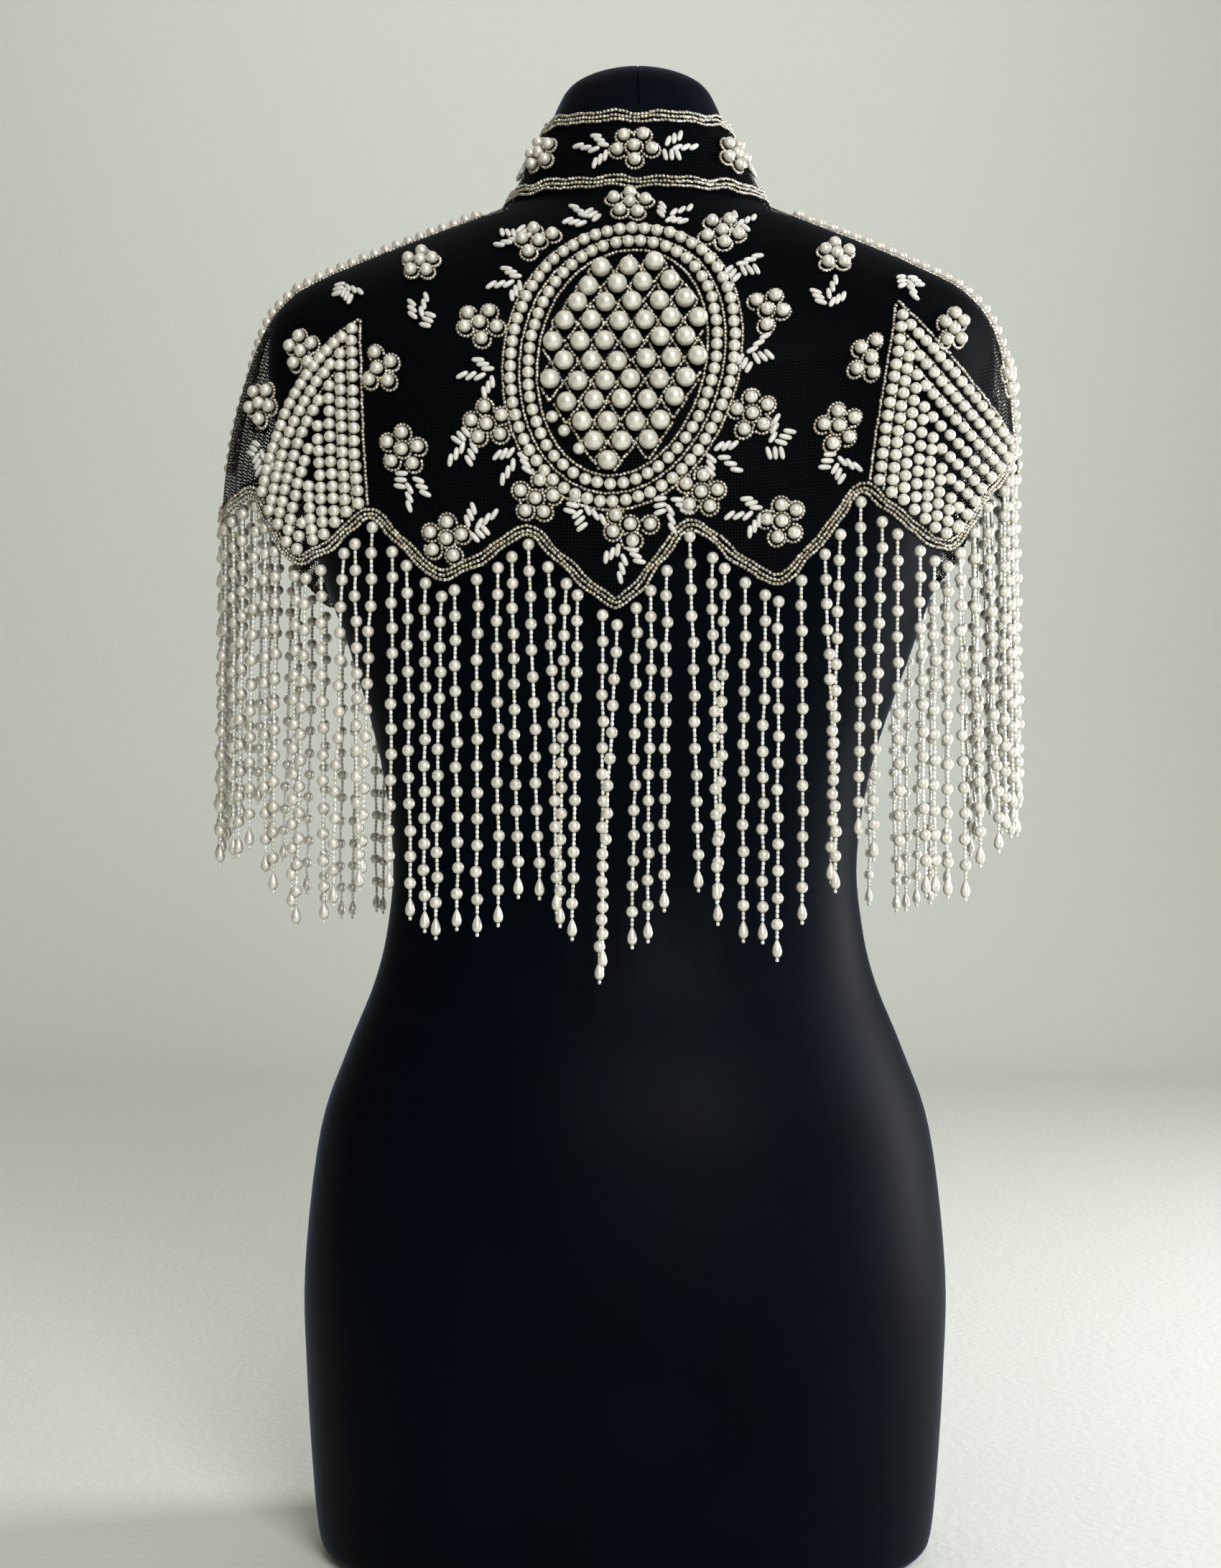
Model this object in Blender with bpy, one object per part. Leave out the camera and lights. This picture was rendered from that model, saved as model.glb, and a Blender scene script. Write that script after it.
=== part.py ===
"""A beaded, pearl-fringed net capelet standing on a smooth limbless dress form.

The back of the garment faces -Y, the wearer's right is +X and the flat base of the
form lies on z = 0. Sizes are in millimetres and become metres as each mesh is made.
Cloth is measured on its own surface: millimetres across from a centre line, and a
ring number that counts level rings down from the neck seam.
"""

import math
import random
from collections import namedtuple
from functools import lru_cache

import bmesh
import bpy
import numpy as np
from mathutils import Vector
from mathutils.geometry import delaunay_2d_cdt

MM = 0.001

# Walls and clearances
CLOTH = 1.8
SEAM_GAP = 0.4
FORM_CLEARANCE = 4.0
LAY_GAP = 1.1
APPLIQUE = 1.2
TRIM_WIDTH = 6.6
TRIM_THICK = 2.0
TRIM_INSET = 0.4
TRIM_SHOULDER = 0.7
LEAST_MITRE = 0.85

# Beads
PEARL = 6.0
FIELD_PEARL = 9.5
PEARL_PITCH = 6.6
PEARL_RISE = 4.2
FIELD_RISE = 6.5
VALLEY_RISE = 1.2
WING_DIP = 0.8
RING_DIP = 1.7
TRIM_MARGIN = 12.0
PETAL_RADIUS = 7.6
PETAL_STEP = 72
PEARL_FOOT = 3.2
COVER_MARGIN = 5.0
SHOULDER_HALF = 3.4
SHOULDER_TOP = 0.5
SHOULDER_STEP = 0.5
SHOULDER_END = 10.0
BUTTON_RADIUS = 4.5
BUTTON_ACROSS = 8.5
BUTTON_SEAT = 0.1

# Fringe
STRAND_PITCH = 9.4
STRAND_JITTER = 1.3
STRAND_LENGTH = 172.0
STRAND_UNEVEN = 5.0
STRAND_RADIUS = 2.4
DROP_RADIUS = 3.0
DROP_LENGTH = 11.0
STRIP_HEIGHT = 3.4
STRIP_DROP = 1.3
ROOT_HALF = 1.6
ROOT_OUT = 1.3
ROOT_IN = 1.2
ROOT_TAPER = 4.0
END_STRAND = 4.0
DROP_BELLY = 0.35

# Grids
COLUMN_COUNT = 36
COLUMN_STEP = 2 * math.pi / COLUMN_COUNT
RING_DROP = 19.2
NECK_EDGE = 0.04
FRONT_OPENING = 3.0
FILL_MARGIN = 5.0
HEM_STEP = 14.0
SCALLOP_BOW = 0.35
SURFACE_STEP = 0.02
SLIVER = 0.02
LATTICE = 16.0
SEAM_REACH = 255.0
OVAL_STEP = 11.0
SEED_STEP = 9.0
BEAD_MARGIN = 2.0

# The neck leans towards +X: a section's shift moves its middle that way.
Section = namedtuple(
    "Section",
    "half_width back front side_z back_z front_z squareness shift",
    defaults=(0,),
)
NECK_SHIFT = 6.5

# Level rings of the cape, from the neck seam to the longest hem point.
CAPE = (
    Section(69, 61, 58, 702, 699, 662, 2.10, NECK_SHIFT),
    Section(88, 72, 70, 694, 687, 647, 2.15, NECK_SHIFT),
    Section(108, 82, 82, 686.5, 673.5, 630, 2.20, 6),
    Section(130, 90, 93, 678, 657.5, 611, 2.25, 5.5),
    Section(152, 97, 103, 668.5, 640, 592, 2.30, 4.5),
    Section(171, 102, 111, 659, 622, 573, 2.35, 3.5),
    Section(184.5, 106, 118, 646, 603, 554, 2.40, 2.5),
    Section(193, 109, 123, 629, 584, 535, 2.40, 1.5),
    Section(199, 110.5, 126, 608, 565, 517, 2.40, 0.5),
    Section(204.5, 111.5, 128, 586, 546, 500, 2.40),
    Section(209, 112, 129, 565, 527, 483, 2.40),
    Section(212, 112.5, 129.5, 546, 507, 467, 2.40),
    Section(214, 113, 130, 530, 486, 451, 2.40),
)

# The standing collar, from its top edge down to the neck seam.
COLLAR = (
    Section(45.6, 47, 47, 748.5, 743.7, 713, 2.05, NECK_SHIFT),
    Section(57, 54, 52, 726, 722, 688, 2.05, NECK_SHIFT),
    Section(68.6, 60.6, 57.6, 703.2, 700.2, 663.2, 2.10, NECK_SHIFT),
)

# The form's rounded neck cap, above the collar.
FORM_CAP = (
    Section(20, 19, 20, 775.5, 776, 772, 2.0, NECK_SHIFT),
    Section(32, 31, 32, 771, 771.5, 764, 2.0, NECK_SHIFT),
    Section(38, 38, 38, 766, 765, 754, 2.0, NECK_SHIFT),
    Section(42.3, 43, 43, 758, 756, 739, 2.0, NECK_SHIFT),
)

# The form's body, below the stretch that the cape rests on, down to its flat base.
FORM_BODY = (
    Section(188, 104.5, 118.5, 629, 584, 538, 2.40, 1.5),
    Section(185.5, 102, 117, 596, 556, 516, 2.40, 0.5),
    Section(172, 96, 113, 553, 526, 492, 2.35, 1.5),
    Section(161.5, 91, 106, 511, 492, 466, 2.30, 2.5),
    Section(147.5, 82, 96, 471, 458, 440, 2.25, 3),
    Section(130, 72, 88, 415, 408, 399, 2.20, 1),
    Section(122.5, 66, 85, 365, 362, 358, 2.15),
    Section(125, 69, 84, 328, 327, 326, 2.10),
    Section(132, 77, 86, 298, 298, 298, 2.10),
    Section(146, 92, 91, 263, 263, 263, 2.15),
    Section(160, 104, 96, 221, 221, 221, 2.20),
    Section(168, 111, 99, 150, 150, 150, 2.25),
    Section(167, 109, 98, 95, 95, 95, 2.25),
    Section(164, 104, 95, 45, 45, 45, 2.25),
    Section(161, 101, 92, 14, 14, 14, 2.25),
    Section(157.5, 98, 89, 4.5, 4.5, 4.5, 2.25),
    Section(149, 90, 81, 0, 0, 0, 2.25),
)
FORM_TOP = 779.5
CAPE_RINGS_ON_FORM = 7
COLLAR_RINGS_ON_FORM = 2
COLLAR_FILL = (0.42, 1, 1.58)

Place = namedtuple("Place", "across ring")
Flower = namedtuple("Flower", "across ring turn petals", defaults=(5,))

# Low points and peaks of the scalloped hem, across from centre back.
SIDE_POINT = 11.0
BACK_HEM = (
    Place(-270, SIDE_POINT),
    Place(-238, 11.5),
    Place(-199, 10.25),
    Place(-172, 11.95),
    Place(-163, 11.95),
    Place(-124.5, 10.3),
    Place(-89.5, 11.7),
    Place(-47, 10.3),
    Place(0, 12.0),
    Place(34, 10.1),
    Place(73, 11.6),
    Place(115, 9.6),
    Place(163, 11.65),
    Place(191, 10.4),
    Place(230, 9.35),
    Place(270, SIDE_POINT),
)

# The same for one front, across from centre front. The sign is set for each side.
FRONT_HEM = (
    Place(0, 11.9),
    Place(45, 10.2),
    Place(90, 11.6),
    Place(132, 10.0),
    Place(184, 11.6),
    Place(240, 9.6),
    Place(292, SIDE_POINT),
)

BACK_FLOWERS = (
    Flower(-4.6, 0.95, 17),
    Flower(41.5, 2.15, 59),
    Flower(64.5, 4.7, 275, 4),
    Flower(59.1, 7.35, 21),
    Flower(35.6, 9.25, 11),
    Flower(2, 10.05, 138, 4),
    Flower(-43, 9.4, 9),
    Flower(-67.6, 7.65, 30),
    Flower(-74.6, 5.15, 352),
    Flower(-48.7, 2.5, 29, 4),
    Flower(-108.1, 3.65, 30),
    Flower(-120.5, 6.75, 245, 4),
    Flower(-109.1, 8.55, 20),
    Flower(-86.5, 10.5, 14),
    Flower(103.5, 3.3, 10),
    Flower(118, 6.4, 59, 4),
    Flower(102.7, 7.95, 25),
    Flower(74.5, 10.1, 29),
    Flower(-172, 6.4, 35),
    Flower(175, 5.9, 80),
    Flower(-212, 8.4, 65),
    Flower(236, 7.2, 25),
)

FRONT_FLOWERS = (
    Flower(32, 1.6, 40),
    Flower(84, 3.0, 75),
    Flower(34, 4.4, 20),
    Flower(78, 5.7, 50),
    Flower(33, 7.2, 85),
    Flower(84, 8.5, 15),
    Flower(24, 9.6, 60),
    Flower(134, 4.6, 35),
    Flower(86, 10.3, 5),
    Flower(255, 8.0, 65),
)

COLLAR_FLOWERS = (
    Flower(0, 0.98, 90),
    Flower(56, 0.98, 60),
    Flower(-56, 0.98, 30),
    Flower(112, 1.0, 105),
    Flower(-112, 1.0, 75),
)

# The oval medallion at centre back: its middle and its half sizes.
MEDALLION_MIDDLE = Place(-4.5, 5.63)
MEDALLION_HALF_WIDTH = 58.0
MEDALLION_HALF_HEIGHT = 74.5
MEDALLION_TILT = math.radians(6)
MEDALLION_RINGS = (4.4, 13.2)
MEDALLION_LINES = (8.8, 17.6)
FIELD_PITCH = 12.8
FIELD_ROW = 9.4
FIELD_REACH = 1.05

# Wings of nested pearl rows, each filling one scallop of the hem up to its trim.
Wing = namedtuple("Wing", "name from_front top inner point outer bulge")
WINGS = (
    Wing("back_left_wing", 0, (-139, 5.6), (-127, 9.8), (-166, 11.4), (-191, 10), 12),
    Wing("back_right_wing", 0, (137, 5.1), (120, 9.1), (159.5, 10.93), (216.5, 8.88), 1),
    Wing("front_left_wing", 1, (-154, 5.4), (-137, 9.5), (-183, 11.05), (-228, 9.35), 5),
    Wing("front_right_wing", 1, (154, 5.4), (137, 9.5), (183, 11.05), (228, 9.35), 5),
)
EDGE_BOW = 0.8
WING_ROW = 7.0
FIRST_ROW = 0.5
WING_DEPTH = 60.0
WING_MARGIN = 3.4
PEARL_APART = 5.9
DIP_APART = 2.6
DIP_MARGIN = 1.5
ARM_REACH = 60.0

# Pearl rows over the shoulders: how far each lies in front of the ridge, at its top
# and, below the rings where it drifts, at its end.
Row = namedtuple("Row", "name side top_shift low_shift")
SHOULDER_ROWS = (
    Row("left_shoulder_row", -1, -8, 4),
    Row("right_shoulder_row", 1, -9, -9),
)
DRIFT_RING = 4.0
DRIFT_RINGS = 2.5


def section_at(sections, ring):
    """The section at a fractional ring, on a smooth curve through the table's rows."""
    last = len(sections) - 1
    low = min(max(int(math.floor(ring)), 0), last - 1)
    part = ring - low
    here = np.array(sections[low])
    after = np.array(sections[low + 1])
    before = np.array(sections[low - 1]) if low > 0 else 2 * here - after
    beyond = np.array(sections[low + 2]) if low + 2 <= last else 2 * after - here
    straight = (after - before) * part
    bend = (2 * before - 5 * here + 4 * after - beyond) * part**2
    twist = (3 * here - before - 3 * after + beyond) * part**3
    return 0.5 * (2 * here + straight + bend + twist)


def ring_point(section, angle):
    """A point of one level ring. Angle 0 is centre back and grows towards +X."""
    half_width, back, front, side_z, back_z, front_z, squareness, shift = section
    sine = math.sin(angle)
    cosine = math.cos(angle)
    power = 2 / squareness
    depth = back if cosine >= 0 else front
    end_z = back_z if cosine >= 0 else front_z
    x = shift + half_width * math.copysign(abs(sine) ** power, sine)
    y = -depth * math.copysign(abs(cosine) ** power, cosine)
    return Vector((x, y, side_z + (end_z - side_z) * cosine**2))


def surface_point(sections, ring, angle, out):
    """A point of a ringed surface, moved out along the surface's own normal."""
    below = ring_point(section_at(sections, ring + SURFACE_STEP), angle)
    above = ring_point(section_at(sections, ring - SURFACE_STEP), angle)
    section = section_at(sections, ring)
    right = ring_point(section, angle + SURFACE_STEP)
    left = ring_point(section, angle - SURFACE_STEP)
    normal = (below - above).cross(right - left).normalized()
    return ring_point(section, angle) + normal * out


@lru_cache(maxsize=None)
def ring_lengths(sections, ring):
    """Angles from centre back to centre front, and the ring's length up to each."""
    angles = np.linspace(0, math.pi, 181)
    section = section_at(sections, ring)
    points = np.array([ring_point(section, angle) for angle in angles])
    steps = np.linalg.norm(np.diff(points, axis=0), axis=1)
    return angles, np.concatenate([[0], np.cumsum(steps)])


class Cloth:
    """A ringed surface, measured in millimetres across from one centre line."""

    def __init__(self, sections, from_front=False):
        self.sections = sections
        self.from_front = from_front

    def across_at(self, angle, ring):
        angles, lengths = ring_lengths(self.sections, ring)
        length = np.interp(abs(angle), angles, lengths)
        if self.from_front:
            length = lengths[-1] - length
        return math.copysign(length, angle)

    def angle_at(self, across, ring):
        angles, lengths = ring_lengths(self.sections, ring)
        length = abs(across)
        if self.from_front:
            length = lengths[-1] - length
        return math.copysign(np.interp(length, lengths, angles), across)

    def point(self, place, out):
        angle = self.angle_at(place[0], place[1])
        return surface_point(self.sections, place[1], angle, out)

    def seam_at(self, side, ring):
        """Where the side seam runs, with half of the gap left open."""
        return side * (abs(self.across_at(math.pi / 2, ring)) - SEAM_GAP / 2)


BACK = Cloth(CAPE)
FRONT = Cloth(CAPE, from_front=True)
STAND = Cloth(COLLAR)


def material(name, colour, roughness, metallic=0.0):
    made = bpy.data.materials.new(name)
    made.use_nodes = True
    shader = made.node_tree.nodes["Principled BSDF"]
    shader.inputs["Base Color"].default_value = (*colour, 1)
    shader.inputs["Roughness"].default_value = roughness
    shader.inputs["Metallic"].default_value = metallic
    return made


def add_object(name, points, faces, finish):
    """A closed mesh object from points in millimetres, with its faces turned out."""
    mesh = bpy.data.meshes.new(name)
    mesh.from_pydata([point * MM for point in points], [], faces)
    work = bmesh.new()
    work.from_mesh(mesh)
    bmesh.ops.recalc_face_normals(work, faces=work.faces)
    if work.calc_volume(signed=True) < 0:
        bmesh.ops.reverse_faces(work, faces=work.faces)
    work.to_mesh(mesh)
    work.free()
    mesh.materials.append(finish)
    obj = bpy.data.objects.new(name, mesh)
    bpy.context.scene.collection.objects.link(obj)
    return obj


def flat(place):
    """A place on the cloth as a point of the flat pattern."""
    return Vector((place[0], -place[1] * RING_DROP))


def place_of(point):
    return Place(point[0], -point[1] / RING_DROP)


def moved(place, turn, distance):
    """A place moved by a distance in a direction, in degrees, in the flat pattern."""
    angle = math.radians(turn)
    shift = Vector((math.cos(angle), math.sin(angle))) * distance
    return place_of(flat(place) + shift)


def from_edge(point, loop):
    """The distance of a flat point from a closed outline, negative outside it."""
    nearest = math.inf
    inside = False
    for start, end in zip(loop, loop[1:] + loop[:1]):
        along = end - start
        share = (point - start).dot(along) / max(along.length_squared, 1e-9)
        foot = start + along * min(max(share, 0), 1)
        nearest = min(nearest, (point - foot).length)
        if (start.y > point.y) != (end.y > point.y):
            crossing = start.x + along.x * (point.y - start.y) / along.y
            inside = inside != (point.x < crossing)
    return nearest if inside else -nearest


def skin(flat_points, edge_count):
    """Triangles over flat points whose first edge_count points are the outline."""
    edges = [(i, (i + 1) % edge_count) for i in range(edge_count)]
    result = delaunay_2d_cdt(flat_points, edges, [], 0, 1e-4, True)
    outline = list(flat_points[:edge_count])
    faces = []
    for face in result[2]:
        middle = sum((result[0][i] for i in face), Vector((0, 0))) / 3
        if from_edge(middle, outline) > SLIVER:
            faces.append([min(result[3][i]) for i in face])
    return faces


def wall(name, cloth, loop, fill, raised, low, thick, finish):
    """A closed wall: a plain inside at low, an outside with raised points over it."""
    inner = list(loop) + list(fill)
    heights = [low + thick] * len(loop)
    outer = list(loop)
    for place in fill:
        spot = flat(place)
        if all((spot - flat(bead)).length > PEARL for bead in raised):
            outer.append(place)
            heights.append(low + thick)
    for bead in raised:
        outer.append(Place(bead[0], bead[1]))
        heights.append(low + thick + bead[2])
    points = [cloth.point(place, low) for place in inner]
    points += [cloth.point(place, out) for place, out in zip(outer, heights)]
    count = len(loop)
    shift = len(inner)
    faces = skin([flat(place) for place in inner], count)
    for face in skin([flat(place) for place in outer], count):
        faces.append([i + shift for i in face])
    for i in range(count):
        after = (i + 1) % count
        faces.append([i, after, after + shift, i + shift])
    return add_object(name, points, faces, finish)


def stretch(knots, bow=0.0, step=HEM_STEP):
    """Places along a line of knots, no further apart than step, bowed below each rise."""
    line = [knots[0]]
    for start, end in zip(knots, knots[1:]):
        count = max(1, round((flat(end) - flat(start)).length / step))
        for i in range(1, count + 1):
            share = i / count
            rising = end.ring < start.ring
            lift = bow * share * (1 - share) * (-1 if rising else 1)
            ring = start.ring + (end.ring - start.ring) * (share + lift)
            line.append(Place(start.across + (end.across - start.across) * share, ring))
    return line


def on_seam(cloth, place):
    """A place near a side seam, moved onto the seam, and any other place as it is."""
    if cloth is STAND or abs(place.across) < SEAM_REACH:
        return place
    return Place(cloth.seam_at(math.copysign(1, place.across), place.ring), place.ring)


def hem_line(cloth, knots):
    """The scalloped hem, with each end that reaches a side seam moved onto it."""
    line = stretch(knots, SCALLOP_BOW)
    return [on_seam(cloth, line[0])] + line[1:-1] + [on_seam(cloth, line[-1])]


def grid_fill(cloth, loop, last_ring, columns):
    """Grid places of a panel that lie well inside its outline."""
    outline = [flat(place) for place in loop]
    found = []
    for ring in range(1, last_ring):
        for column in columns:
            place = Place(cloth.across_at(column * COLUMN_STEP, ring), ring)
            if from_edge(flat(place), outline) > FILL_MARGIN:
                found.append(place)
    return found


def flower_points(flower):
    """Raised points of a pearl flower: its pearls, the dips between and its foot.

    The pearls round the middle are a fifth of a turn apart, and the last may be missing.
    """
    middle = Place(flower.across, flower.ring)
    points = [(*middle, PEARL_RISE)]
    for i in range(flower.petals):
        turn = flower.turn + PETAL_STEP * i
        points.append((*moved(middle, turn, PETAL_RADIUS), PEARL_RISE))
        points.append((*moved(middle, turn, PETAL_RADIUS + PEARL_FOOT), 0))
    for i in range(min(flower.petals + 1, 360 // PETAL_STEP)):
        turn = flower.turn + PETAL_STEP * (i - 0.5)
        points.append((*moved(middle, turn, PETAL_RADIUS), 0))
    return points


def raised_on(flowers, outline, covers, side=1):
    """A panel's raised points, left out near its trims and near what lies on it."""
    found = []
    for flower in flowers:
        for across, ring, rise in flower_points(flower):
            spot = flat((side * across, ring))
            margin = TRIM_MARGIN if rise else PEARL_FOOT
            near = any(-from_edge(spot, cover) < COVER_MARGIN for cover in covers)
            if from_edge(spot, outline) > margin and not (rise and near):
                found.append((*place_of(spot), rise))
    return found


def clear_of(points, outline, margin):
    """The raised points that lie further inside an outline than margin."""
    return [p for p in points if from_edge(flat(p), outline) > margin]


def lattice(outline, margin):
    """Plain places spaced evenly inside an outline, for the skins of a laid-on piece."""
    lows = [min(spot[i] for spot in outline) for i in range(2)]
    highs = [max(spot[i] for spot in outline) for i in range(2)]
    found = []
    for x in np.arange(lows[0] + LATTICE / 2, highs[0], LATTICE):
        for y in np.arange(lows[1] + LATTICE / 2, highs[1], LATTICE):
            if from_edge(Vector((x, y)), outline) > margin:
                found.append(place_of((x, y)))
    return found


def wing_covers(from_front, side):
    """The outlines of the wings on one cloth, or on one side of it."""
    found = []
    for wing in WINGS:
        if wing.from_front == from_front and side * wing.top[0] >= 0:
            found.append([spot for edge in wing_outline(wing) for spot in edge])
    return found


def make_back_panel(finish):
    columns = range(-8, 9)
    hem = hem_line(BACK, BACK_HEM)
    neck = [Place(BACK.seam_at(-1, NECK_EDGE), NECK_EDGE)]
    neck += [Place(BACK.across_at(c * COLUMN_STEP, NECK_EDGE), NECK_EDGE) for c in columns]
    neck.append(Place(BACK.seam_at(1, NECK_EDGE), NECK_EDGE))
    right = [Place(BACK.seam_at(1, r), r) for r in range(1, math.ceil(hem[-1].ring))]
    left = [Place(BACK.seam_at(-1, r), r) for r in range(math.ceil(hem[0].ring) - 1, 0, -1)]
    loop = neck + right + hem[::-1] + left
    outline = [flat(place) for place in loop]
    covers = wing_covers(0, 1) + wing_covers(0, -1)
    covers.append([flat(place) for place in oval_row(0, OVAL_STEP)])
    raised = raised_on(BACK_FLOWERS, outline, covers)
    fill = grid_fill(BACK, loop, len(CAPE), columns)
    wall("back_panel", BACK, loop, fill, raised, 0, CLOTH, finish)
    return hem


def make_front_panel(name, side, finish):
    columns = [side * c for c in range(10, 18)]
    hem = hem_line(FRONT, [Place(side * across, ring) for across, ring in FRONT_HEM])
    edge = side * FRONT_OPENING / 2
    hem[0] = Place(edge, hem[0].ring)
    centre = [Place(edge, ring) for ring in (NECK_EDGE, *range(1, math.ceil(hem[0].ring)))]
    across = [FRONT.across_at(c * COLUMN_STEP, NECK_EDGE) for c in columns]
    neck = [Place(FRONT.seam_at(side, NECK_EDGE), NECK_EDGE)]
    neck += [Place(a, NECK_EDGE) for a in across]
    seam = [Place(FRONT.seam_at(side, r), r) for r in range(math.ceil(hem[-1].ring) - 1, 0, -1)]
    loop = neck + centre + hem + seam
    outline = [flat(place) for place in loop]
    raised = raised_on(FRONT_FLOWERS, outline, wing_covers(1, side), side)
    fill = grid_fill(FRONT, loop, len(CAPE), columns)
    wall(name, FRONT, loop, fill, raised, 0, CLOTH, finish)
    return hem


def make_collar(finish):
    last = len(COLLAR) - 1
    columns = range(-17, 18)
    rows = []
    for ring in (0, last):
        half = abs(STAND.across_at(math.pi, ring)) - FRONT_OPENING / 2
        row = [Place(-half, ring)]
        row += [Place(STAND.across_at(c * COLUMN_STEP, ring), ring) for c in columns]
        rows.append(row + [Place(half, ring)])
    half = abs(STAND.across_at(math.pi, 1)) - FRONT_OPENING / 2
    loop = rows[0] + [Place(half, 1)] + rows[1][::-1] + [Place(-half, 1)]
    fill = []
    for ring in COLLAR_FILL:
        fill += [Place(STAND.across_at(c * COLUMN_STEP, ring), ring) for c in columns]
    raised = raised_on(COLLAR_FLOWERS, [flat(place) for place in loop], [])
    wall("collar", STAND, loop, fill, raised, 0, CLOTH, finish)


def make_band(name, cloth, edge, inward, finish, square_ends=False):
    """A narrow bead trim on the cloth beside an edge line of places.

    Its ends follow the panel's upright seams, or are square to its own line.
    """
    flat_edge = [flat(place) for place in edge]
    sides = []
    for start, end in zip(flat_edge, flat_edge[1:]):
        along = (end - start).normalized()
        sides.append(Vector((-along.y, along.x)) * inward)
    points = []
    for i, spot in enumerate(flat_edge):
        before = sides[max(i - 1, 0)]
        after = sides[min(i, len(sides) - 1)]
        mitre = (before + after).normalized()
        at_end = i in (0, len(flat_edge) - 1)
        if at_end and not square_ends:
            mitre = Vector((0, math.copysign(1, mitre.y)))
        mitre /= max(mitre.dot(after), LEAST_MITRE)
        near = place_of(spot + mitre * TRIM_INSET)
        far = place_of(spot + mitre * (TRIM_INSET + TRIM_WIDTH))
        if at_end:
            near = on_seam(cloth, near)
            far = on_seam(cloth, far)
        low = CLOTH + LAY_GAP
        shoulder = low + TRIM_THICK * TRIM_SHOULDER
        crown = place_of((flat(near) + flat(far)) / 2)
        points += [cloth.point(near, low), cloth.point(far, low), cloth.point(far, shoulder)]
        points += [cloth.point(crown, low + TRIM_THICK), cloth.point(near, shoulder)]
    size = len(points) // len(flat_edge)
    faces = [list(range(size)), list(range(len(points) - size, len(points)))]
    for i in range(len(flat_edge) - 1):
        base = i * size
        for j in range(size):
            k = (j + 1) % size
            faces.append([base + j, base + k, base + size + k, base + size + j])
    return add_object(name, points, faces, finish)


def tilted(point, tilt):
    """A flat point turned clockwise about the origin."""
    x = point[0] * math.cos(tilt) + point[1] * math.sin(tilt)
    y = point[1] * math.cos(tilt) - point[0] * math.sin(tilt)
    return Vector((x, y))


def medallion_place(inset, angle):
    """A place on the oval that lies inset inside the medallion's edge."""
    x = (MEDALLION_HALF_WIDTH - inset) * math.cos(angle)
    y = (MEDALLION_HALF_HEIGHT - inset) * math.sin(angle)
    return place_of(flat(MEDALLION_MIDDLE) + tilted((x, y), MEDALLION_TILT))


def oval_length(inset):
    """The length round the oval that lies inset inside the medallion's edge."""
    a = MEDALLION_HALF_WIDTH - inset
    b = MEDALLION_HALF_HEIGHT - inset
    return math.pi * (3 * (a + b) - math.sqrt((3 * a + b) * (a + 3 * b)))


def oval_row(inset, pitch, offset=0.0):
    """Places spaced evenly round an oval."""
    count = round(oval_length(inset) / pitch)
    dense = [medallion_place(inset, 2 * math.pi * i / 720) for i in range(721)]
    spots = np.array([flat(place) for place in dense])
    lengths = np.concatenate([[0], np.cumsum(np.linalg.norm(np.diff(spots, axis=0), axis=1))])
    targets = (np.arange(count) + offset) * lengths[-1] / count
    xs = np.interp(targets, lengths, spots[:, 0])
    ys = np.interp(targets, lengths, spots[:, 1])
    return [place_of((x, y)) for x, y in zip(xs, ys)]


def field_places():
    """The staggered lattice of large pearls inside the medallion's inner line."""
    a = MEDALLION_HALF_WIDTH - MEDALLION_LINES[1] - FIELD_PEARL / 2
    b = MEDALLION_HALF_HEIGHT - MEDALLION_LINES[1] - FIELD_PEARL / 2
    middle = flat(MEDALLION_MIDDLE)
    rows = int(b / FIELD_ROW) + 1
    columns = int(a / FIELD_PITCH) + 1
    found = []
    for row in range(-rows, rows + 1):
        for column in range(-columns, columns + 1):
            spot = Vector(((column + 0.5 * (row % 2)) * FIELD_PITCH, row * FIELD_ROW))
            x, y = tilted(spot, -MEDALLION_TILT)
            if (x / a) ** 2 + (y / b) ** 2 <= FIELD_REACH:
                found.append(place_of(middle + spot))
    return found


def make_medallion(finish):
    loop = oval_row(0, OVAL_STEP)
    raised = []
    for inset in MEDALLION_RINGS:
        raised += [(*place, PEARL_RISE) for place in oval_row(inset, PEARL_PITCH)]
        raised += [(*place, RING_DIP) for place in oval_row(inset, PEARL_PITCH, 0.5)]
    for inset in MEDALLION_LINES:
        raised += [(*place, 0) for place in oval_row(inset, SEED_STEP)]
    dips = {}
    for place in field_places():
        raised.append((*place, FIELD_RISE))
        for x, y in ((1, 1), (1, -1), (-1, 1), (-1, -1)):
            dip = flat(place) + Vector((x * FIELD_PITCH / 4, y * FIELD_ROW / 2))
            dips[(round(dip.x), round(dip.y))] = (*place_of(dip), 0)
    raised += dips.values()
    low = CLOTH + LAY_GAP
    outline = [flat(place) for place in loop]
    fill = lattice(outline, FILL_MARGIN)
    raised = clear_of(raised, outline, BEAD_MARGIN)
    wall("back_medallion", BACK, loop, fill, raised, low, APPLIQUE, finish)


def bulged(start, end, bulge, count):
    """Flat points from start up to, but not at, end, on a shallow curve."""
    along = end - start
    side = Vector((along.y, -along.x)).normalized() * bulge
    shares = [i / count for i in range(count)]
    return [start + along * s + side * 4 * s * (1 - s) for s in shares]


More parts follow.
